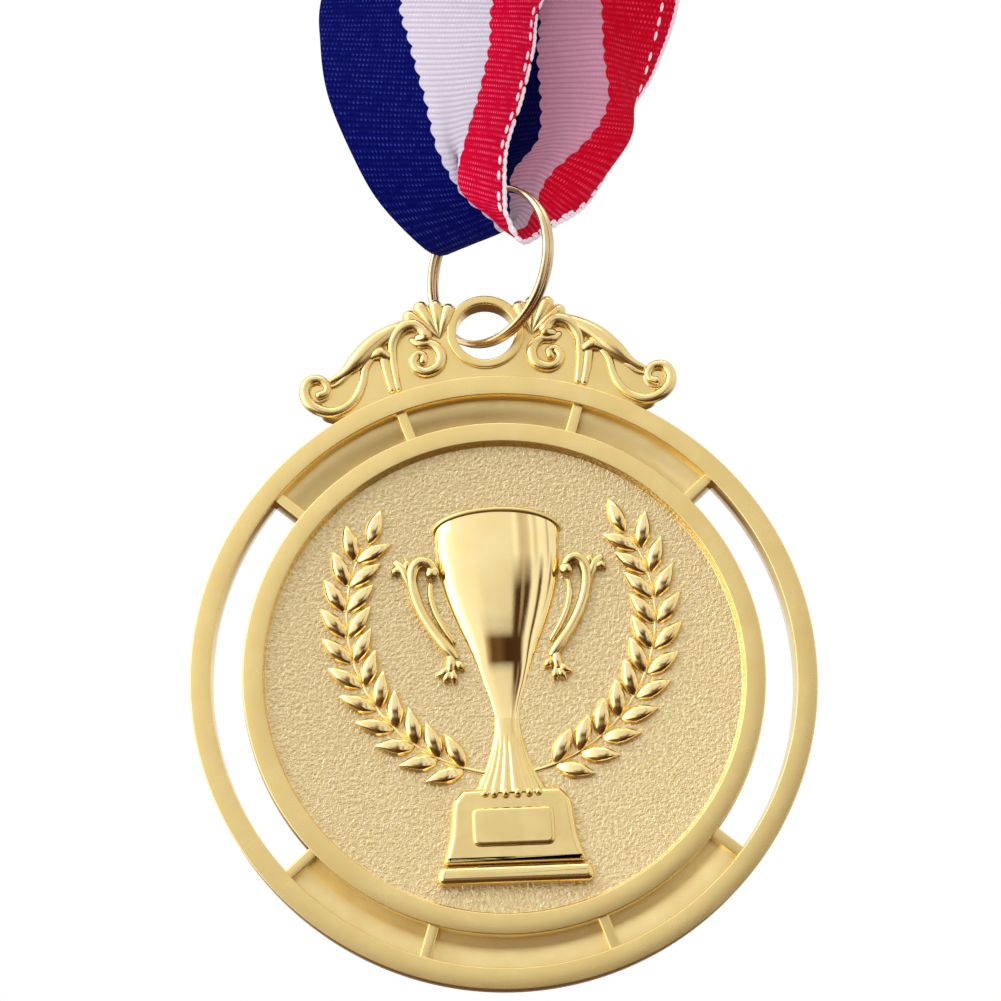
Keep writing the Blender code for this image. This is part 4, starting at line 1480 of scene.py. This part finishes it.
    def sheet(self) -> Piece:
        """Build the whole ribbon with its map in millimetres, before its thickness."""
        strand_rows = [self.across(row) for row in self.strands()]
        roll_rows = [self.across(row) for row in self.turns()[1:-1]]
        loop = strand_rows + roll_rows[::-1]
        form = bmesh.new()
        chart = form.loops.layers.uv.new("weave")
        grid = [row_of(form, row) for row in loop]
        middle = self.columns // 2
        run = 0.0
        for first, second in zip(grid, grid[1:] + grid[:1]):
            step = (second[middle].co - first[middle].co).length
            for k in range(self.columns):
                face = form.faces.new((first[k], first[k + 1], second[k + 1], second[k]))
                chart_places = ((k, run), (k + 1, run), (k + 1, run + step), (k, run + step))
                for corner, (column, along) in zip(face.loops, chart_places):
                    corner[chart].uv = (self.width * column / self.columns, along)
            run += step
        LOG.info("ribbon loop measures %.0f mm", run)
        data = bpy.data.meshes.new("neck_ribbon")
        form.to_mesh(data)
        form.free()
        data.transform(self.layout.hanging)
        return link_piece("neck_ribbon", data)

    def stitch_tree(self) -> Tree:
        """Build the tree that lays a stitch on each point, along and across its own directions.

        Returns:
            A Geometry Nodes tree with a named input for each size.
        """
        wiring, given = begin_tree("stitch_row", {
            "Length": "Float", "Width": "Float", "Height": "Float", "Finish": "Material"})
        along, facing = (wiring.node("GeometryNodeInputNamedAttribute", {"Name": name},
                                     data_type="FLOAT_VECTOR").outputs[0]
                         for name in ("along", "facing"))
        first = wiring.node("FunctionNodeAlignRotationToVector", {"Vector": along}, axis="X")
        second = wiring.node("FunctionNodeAlignRotationToVector", {
            "Rotation": first.outputs[0], "Vector": facing}, axis="Z", pivot_axis="X")
        size = wiring.node("ShaderNodeCombineXYZ", {
            0: given["Length"], 1: given["Width"], 2: given["Height"]})
        bead = wiring.node("GeometryNodeMeshUVSphere", {"Segments": 8, "Rings": 6, "Radius": 0.5})
        points = wiring.node("GeometryNodeMeshToPoints", {0: given["Geometry"]})
        return end_tree(wiring, {"Points": points.outputs[0], "Instance": bead.outputs[0],
                                 "Rotation": second.outputs[0], "Scale": size.outputs[0]},
                        given["Finish"])

    def stitches(self, name: str, tree: Tree, marks: list[Mark],
                 size: Triple) -> Piece:
        """Lay a row of stitches.

        Args:
            name: The piece's name.
            tree: The tree from stitch_tree().
            marks: Place, direction along and direction facing of each stitch.
            size: Length, width and height of a stitch, in millimetres.

        Returns:
            The stitches as one object.
        """
        data = bpy.data.meshes.new(name)
        data.from_pydata([mark[0] for mark in marks], [], [])
        for number, label in ((1, "along"), (2, "facing")):
            values = data.attributes.new(label, "FLOAT_VECTOR", "POINT")
            values.data.foreach_set("vector", [v for mark in marks for v in mark[number]])
        base = link_piece(name, data)
        values = {"Length": size[0], "Width": size[1], "Height": size[2],
                  "Finish": self.palette.thread}
        mesh = evaluated(base, tree, values)
        mesh.transform(self.layout.hanging)
        return link_piece(name, mesh)

    def edge_marks(self, inset: float, pitch: float, lift: float) -> list[Mark]:
        """Return marks along the crimson edge of the strands.

        Args:
            inset: Distance in from the selvedge.
            pitch: Distance from one mark to the next.
            lift: Height of the marks off the middle of the sheet. Both faces get marks
                if it isn't 0.

        Returns:
            Place, direction along and direction facing of each mark.
        """
        rows = [self.across(row) for row in self.strands()]
        column = self.columns * (1 - inset / self.width)
        low = min(int(column), self.columns - 1)
        share = column - low
        line = [row[low].lerp(row[low + 1], share) for row in rows]
        marks, run, due = [], 0.0, pitch / 2
        for i in range(1, len(line) - 1):
            run += (line[i] - line[i - 1]).length
            if run < due:
                continue
            due += pitch
            along = (line[i + 1] - line[i - 1]).normalized()
            out = (rows[i][-1] - rows[i][-2]).normalized()
            facing = out.cross(along).normalized()
            for side in ((1, -1) if lift else (1,)):
                marks.append((line[i] + facing * lift * side, along, facing * side))
        return marks

    def seam_marks(self) -> list[Mark]:
        """Return marks along the two rows of the seam, on the roll's outer layer."""
        middle = self.roll_middle
        marks = []
        for turn in self.seam_turns:
            radius = self.wound_radius(math.pi + turn) + self.thickness / 2 + self.stitch_lift
            facing = Vector((0, math.cos(turn), -math.sin(turn)))
            for k in range(self.seam_stitches):
                shift = self.seam_length * (k / (self.seam_stitches - 1) - 0.5)
                place = Vector((middle.x + shift, 0, middle.z)) + facing * radius
                marks.append((place, Vector((1, 0, 0)), facing))
        return marks

    def build(self) -> None:
        tree = self.stitch_tree()
        loops = self.stitches("selvedge_loops", tree, self.edge_marks(0.0, self.loop_pitch, 0.0),
                              self.loop_size)
        dashes = self.stitches("edge_stitches", tree, self.edge_marks(
            self.dash_inset, self.dash_pitch, self.dash_lift), self.dash_size)
        seam = self.stitches("seam_stitches", tree, self.seam_marks(), self.seam_size)
        sheet = self.sheet()
        shell = sheet.modifiers.new("thickness", "SOLIDIFY")
        shell.thickness = self.thickness * MM
        shell.offset = 0.0
        settle(sheet, self.palette.ribbon, "ribbon", "white_weave",
               "ribbon_front_strand", "ribbon_bight", "ribbon_back_strand", "ribbon_roll")
        for piece in (loops, dashes):
            settle(piece, self.palette.thread, "ribbon", "white_thread")
        settle(seam, self.palette.thread, "ribbon", "white_thread", "seam_thread")


@dataclass
class StorageBand:
    """Elastic band that runs level round the wound ribbon."""

    layout: Layout
    palette: Palette
    thick: float = 0.5
    corner_radii: Pair = (1.0, 1.5)
    edge: float = 0.12
    sharp_rim: float = 1.2
    levels: int = 7

    @staticmethod
    def loop(low: Vector, high: Vector, inset: float, radius: float) -> Profile:
        """Return a rounded rectangle, inset from a box seen from above."""
        return rounded([(high.x - inset, high.y - inset), (low.x + inset, high.y - inset),
                        (low.x + inset, low.y + inset), (high.x - inset, low.y + inset)], radius, 8)

    def build(self) -> None:
        """Build and dress the band inside its node's box."""
        low, high = ((corner - self.layout.disc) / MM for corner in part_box("roll_band"))
        inner = self.loop(low, high, self.thick, self.corner_radii[0])
        outer = self.loop(low, high, 0.0, self.corner_radii[1])
        form = bmesh.new()
        rows = []
        shares = [k / (self.levels - 1) for k in range(self.levels)]
        for outline, bottom, top in ((outer, low.z, high.z), (inner, high.z, low.z)):
            rows += [row_of(form, ((x, y, bottom + (top - bottom) * share) for x, y in outline))
                     for share in shares]
        loft(form, rows, loop=True)
        rims = [edge for edge in form.edges if edge.calc_face_angle(0.0) > self.sharp_rim]
        bmesh.ops.bevel(form, geom=rims, offset=self.edge, segments=2, affect="EDGES", profile=0.5)
        piece = new_piece("roll_band_elastic", form, self.layout.hanging)
        settle(piece, self.palette.rubber, "ribbon", "band_rubber", "roll_band")


# --------------------------------------------------------------------------------------- studio


@dataclass
class Studio:
    """Camera, soft lights, pale floor and pale surroundings, in metres."""

    layout: Layout
    camera_mm: Triple = (-8.0, -225.0, -51.6)
    yaw: float = math.radians(2.2)
    pitch: float = math.radians(17.37)
    roll: float = math.radians(-3.3)
    lens: float = 79.5
    sensor: float = 36.0
    clip: Pair = (0.01, 100.0)
    lights: tuple = (("left_softbox", (-0.60, -0.50, 0.45), (0.40, 0.40), 1.2),
                     ("top_softbox", (0.10, -0.35, 0.80), (0.50, 0.30), 0.8))
    dark_warmth: float = 0.45
    warmth_gain: float = 0.65
    floor_level: float = -0.62
    floor_half_size: float = 30.0
    floor_tones: Pair = (0.84, 0.80)
    floor_roughness: float = 0.8
    floor_patch_mm: float = 180.0

    # Cards round the medal, band by band upwards: (bearing in degrees from the front, brightness).
    CARDS = (
        # On the floor.
        ((-180, 0.15), (-130, 0.3), (-60, 0.2), (-10, 0.12), (20, 0.06), (60, 0.06), (130, 0.25),
         (180, 0.15)),
        # Just over it.
        ((-180, 0.12), (-150, 0.15), (-130, 0.8), (-90, 1.6), (-55, 2.0), (-38, 1.1), (-16, 1.0),
         (-8, 0.4), (10, 0.35), (13, 0.10), (24, 0.10), (28, 0.7), (80, 0.6), (130, 0.7),
         (150, 0.15), (180, 0.12)),
        # Low, with the dark patch of the cup's stem.
        ((-180, 0.12), (-150, 0.15), (-130, 0.9), (-90, 1.8), (-70, 2.6), (-45, 2.5), (-32, 1.2),
         (-19, 1.1), (-14, 0.5), (-9, 0.12), (-2, 0.16), (5, 0.06), (20, 0.08), (26, 1.1),
         (33, 1.0), (35, 0.15), (38, 0.15), (41, 1.1), (80, 0.8), (130, 0.8), (150, 0.15),
         (180, 0.12)),
        # Level, with the dark stripes of the cup.
        ((-180, 0.5), (-120, 0.9), (-90, 1.8), (-70, 2.6), (-48, 2.5), (-36, 1.2), (-14, 1.05),
         (-9, 0.92), (9, 0.82), (12, 0.10), (16, 0.05), (17.5, 0.6), (19, 0.08), (23, 0.10),
         (26, 1.1), (32, 1.0), (34, 0.12), (37, 0.12), (40, 1.1), (52, 1.0), (55, 0.3),
         (59, 0.35), (63, 1.0), (130, 0.8), (180, 0.5)),
        # High.
        ((-180, 0.9), (-120, 1.0), (-90, 1.6), (-70, 2.5), (-50, 2.4), (-40, 1.3), (-20, 1.08),
         (-8, 1.0), (10, 0.95), (13, 1.15), (16, 0.68), (22, 0.75), (25, 1.15), (29, 0.75),
         (33, 1.1), (44, 1.0), (48, 0.6), (52, 1.0), (95, 0.9), (180, 0.9)),
    )
    BRIGHTEST = 2.6
    # Where each band gives way to the next, as the sine of the elevation.
    CHANGES = ((-0.52, -0.42), (-0.30, -0.22), (-0.10, 0.04), (0.08, 0.20))

    def camera(self) -> None:
        """Place the camera."""
        right = Vector((math.cos(self.yaw), -math.sin(self.yaw), 0.0))
        ahead = Vector((math.sin(self.yaw) * math.cos(self.pitch),
                        math.cos(self.yaw) * math.cos(self.pitch), math.sin(self.pitch)))
        up = right.cross(ahead)
        side = right * math.cos(self.roll) + up * math.sin(self.roll)
        above = up * math.cos(self.roll) - right * math.sin(self.roll)
        turn = Matrix((side, above, -ahead)).transposed().to_4x4()
        data = bpy.data.cameras.new("camera")
        data.lens = self.lens
        data.sensor_width = self.sensor
        data.clip_start, data.clip_end = self.clip
        eye = bpy.data.objects.new("camera", data)
        bpy.context.scene.collection.objects.link(eye)
        eye.matrix_world = Matrix.Translation(self.layout.hanging @ Vector(self.camera_mm)) @ turn
        bpy.context.scene.camera = eye

    def softbox(self, name: str, place: Triple, size: Pair, power: float) -> None:
        """Place a soft light that faces the disc."""
        data = bpy.data.lights.new(name, "AREA")
        data.shape = "RECTANGLE"
        data.size, data.size_y = size
        data.energy = power
        light = bpy.data.objects.new(name, data)
        bpy.context.scene.collection.objects.link(light)
        light.location = self.layout.disc + Vector(place)
        light.rotation_euler = (-Vector(place)).to_track_quat("-Z", "Y").to_euler()

    def surroundings(self) -> None:
        """Make the world: white to the eye, bright cards and dark gaps in reflections."""
        world = bpy.data.worlds.new("studio")
        world.use_nodes = True
        bpy.context.scene.world = world
        wiring = Wiring(world.node_tree)
        way = wiring.node("ShaderNodeTexCoord").outputs["Generated"]
        x, y, z = wiring.node("ShaderNodeSeparateXYZ", {"Vector": way}).outputs
        sweep = wiring.span(wiring.math("ARCTAN2", x, wiring.times(y, -1.0)), -math.pi, math.pi)
        bands = [wiring.ramp(sweep, [((bearing + 180) / 360, self.tone(level))
                                     for bearing, level in band]) for band in self.CARDS]
        cards = bands[0]
        for (low, high), band in zip(self.CHANGES, bands[1:]):
            cards = wiring.mix(wiring.span(z, low, high), cards, band)
        seen = wiring.node("ShaderNodeLightPath").outputs["Is Camera Ray"]
        backdrop = world.node_tree.nodes["Background"]
        wiring.feed(backdrop.inputs["Color"], wiring.mix(seen, cards, PLAIN_WHITE))
        wiring.feed(backdrop.inputs["Strength"], wiring.span(seen, 0.0, 1.0, self.BRIGHTEST, 1.0))

    def tone(self, level: float) -> Triple:
        """Return a card's colour as a share of the brightest, warmer where it is dark."""
        share = level / self.BRIGHTEST
        warmth = min(self.dark_warmth + level * self.warmth_gain, 1.0)
        return (share, share * warmth, share * warmth ** 2)

    def floor(self) -> None:
        """Lay the pale floor well below the medal."""
        form = bmesh.new()
        bmesh.ops.create_grid(form, x_segments=1, y_segments=1, size=self.floor_half_size)
        floor = new_piece("floor", form, Matrix.Translation((0.0, 0.0, self.floor_level)))
        made, wiring, shader = new_material("pale_floor")
        place = wiring.node("ShaderNodeTexCoord").outputs["Object"]
        drift = wiring.noise(place, self.floor_patch_mm)
        light, dark = (opaque([tone] * 3) for tone in self.floor_tones)
        wiring.feed(shader.inputs["Base Color"], wiring.mix(drift, light, dark))
        shader.inputs["Roughness"].default_value = self.floor_roughness
        floor.data.materials.append(made)
        floor.visible_glossy = False

    def build(self) -> None:
        """Set up the studio."""
        self.camera()
        self.surroundings()
        self.floor()
        for light in self.lights:
            self.softbox(*light)
        bpy.context.scene.view_settings.view_transform = "Standard"


def main() -> None:
    """Build the medal's looks in order and report each piece."""
    logging.basicConfig(level=logging.INFO, format="%(name)s: %(message)s")
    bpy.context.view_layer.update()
    layout = Layout.read(frame)
    palette = Palette()
    Studio(layout).build()
    NeckRibbon(layout, palette).build()
    SplitRing(layout, palette).build()
    StorageBand(layout, palette).build()
    OpenworkFrame(layout, palette).build()
    Trophy(layout, palette).build()
    LaurelWreath(layout, palette).build()
    ScrolledCrest(layout, palette).build()


if __name__ == "__main__":
    main()
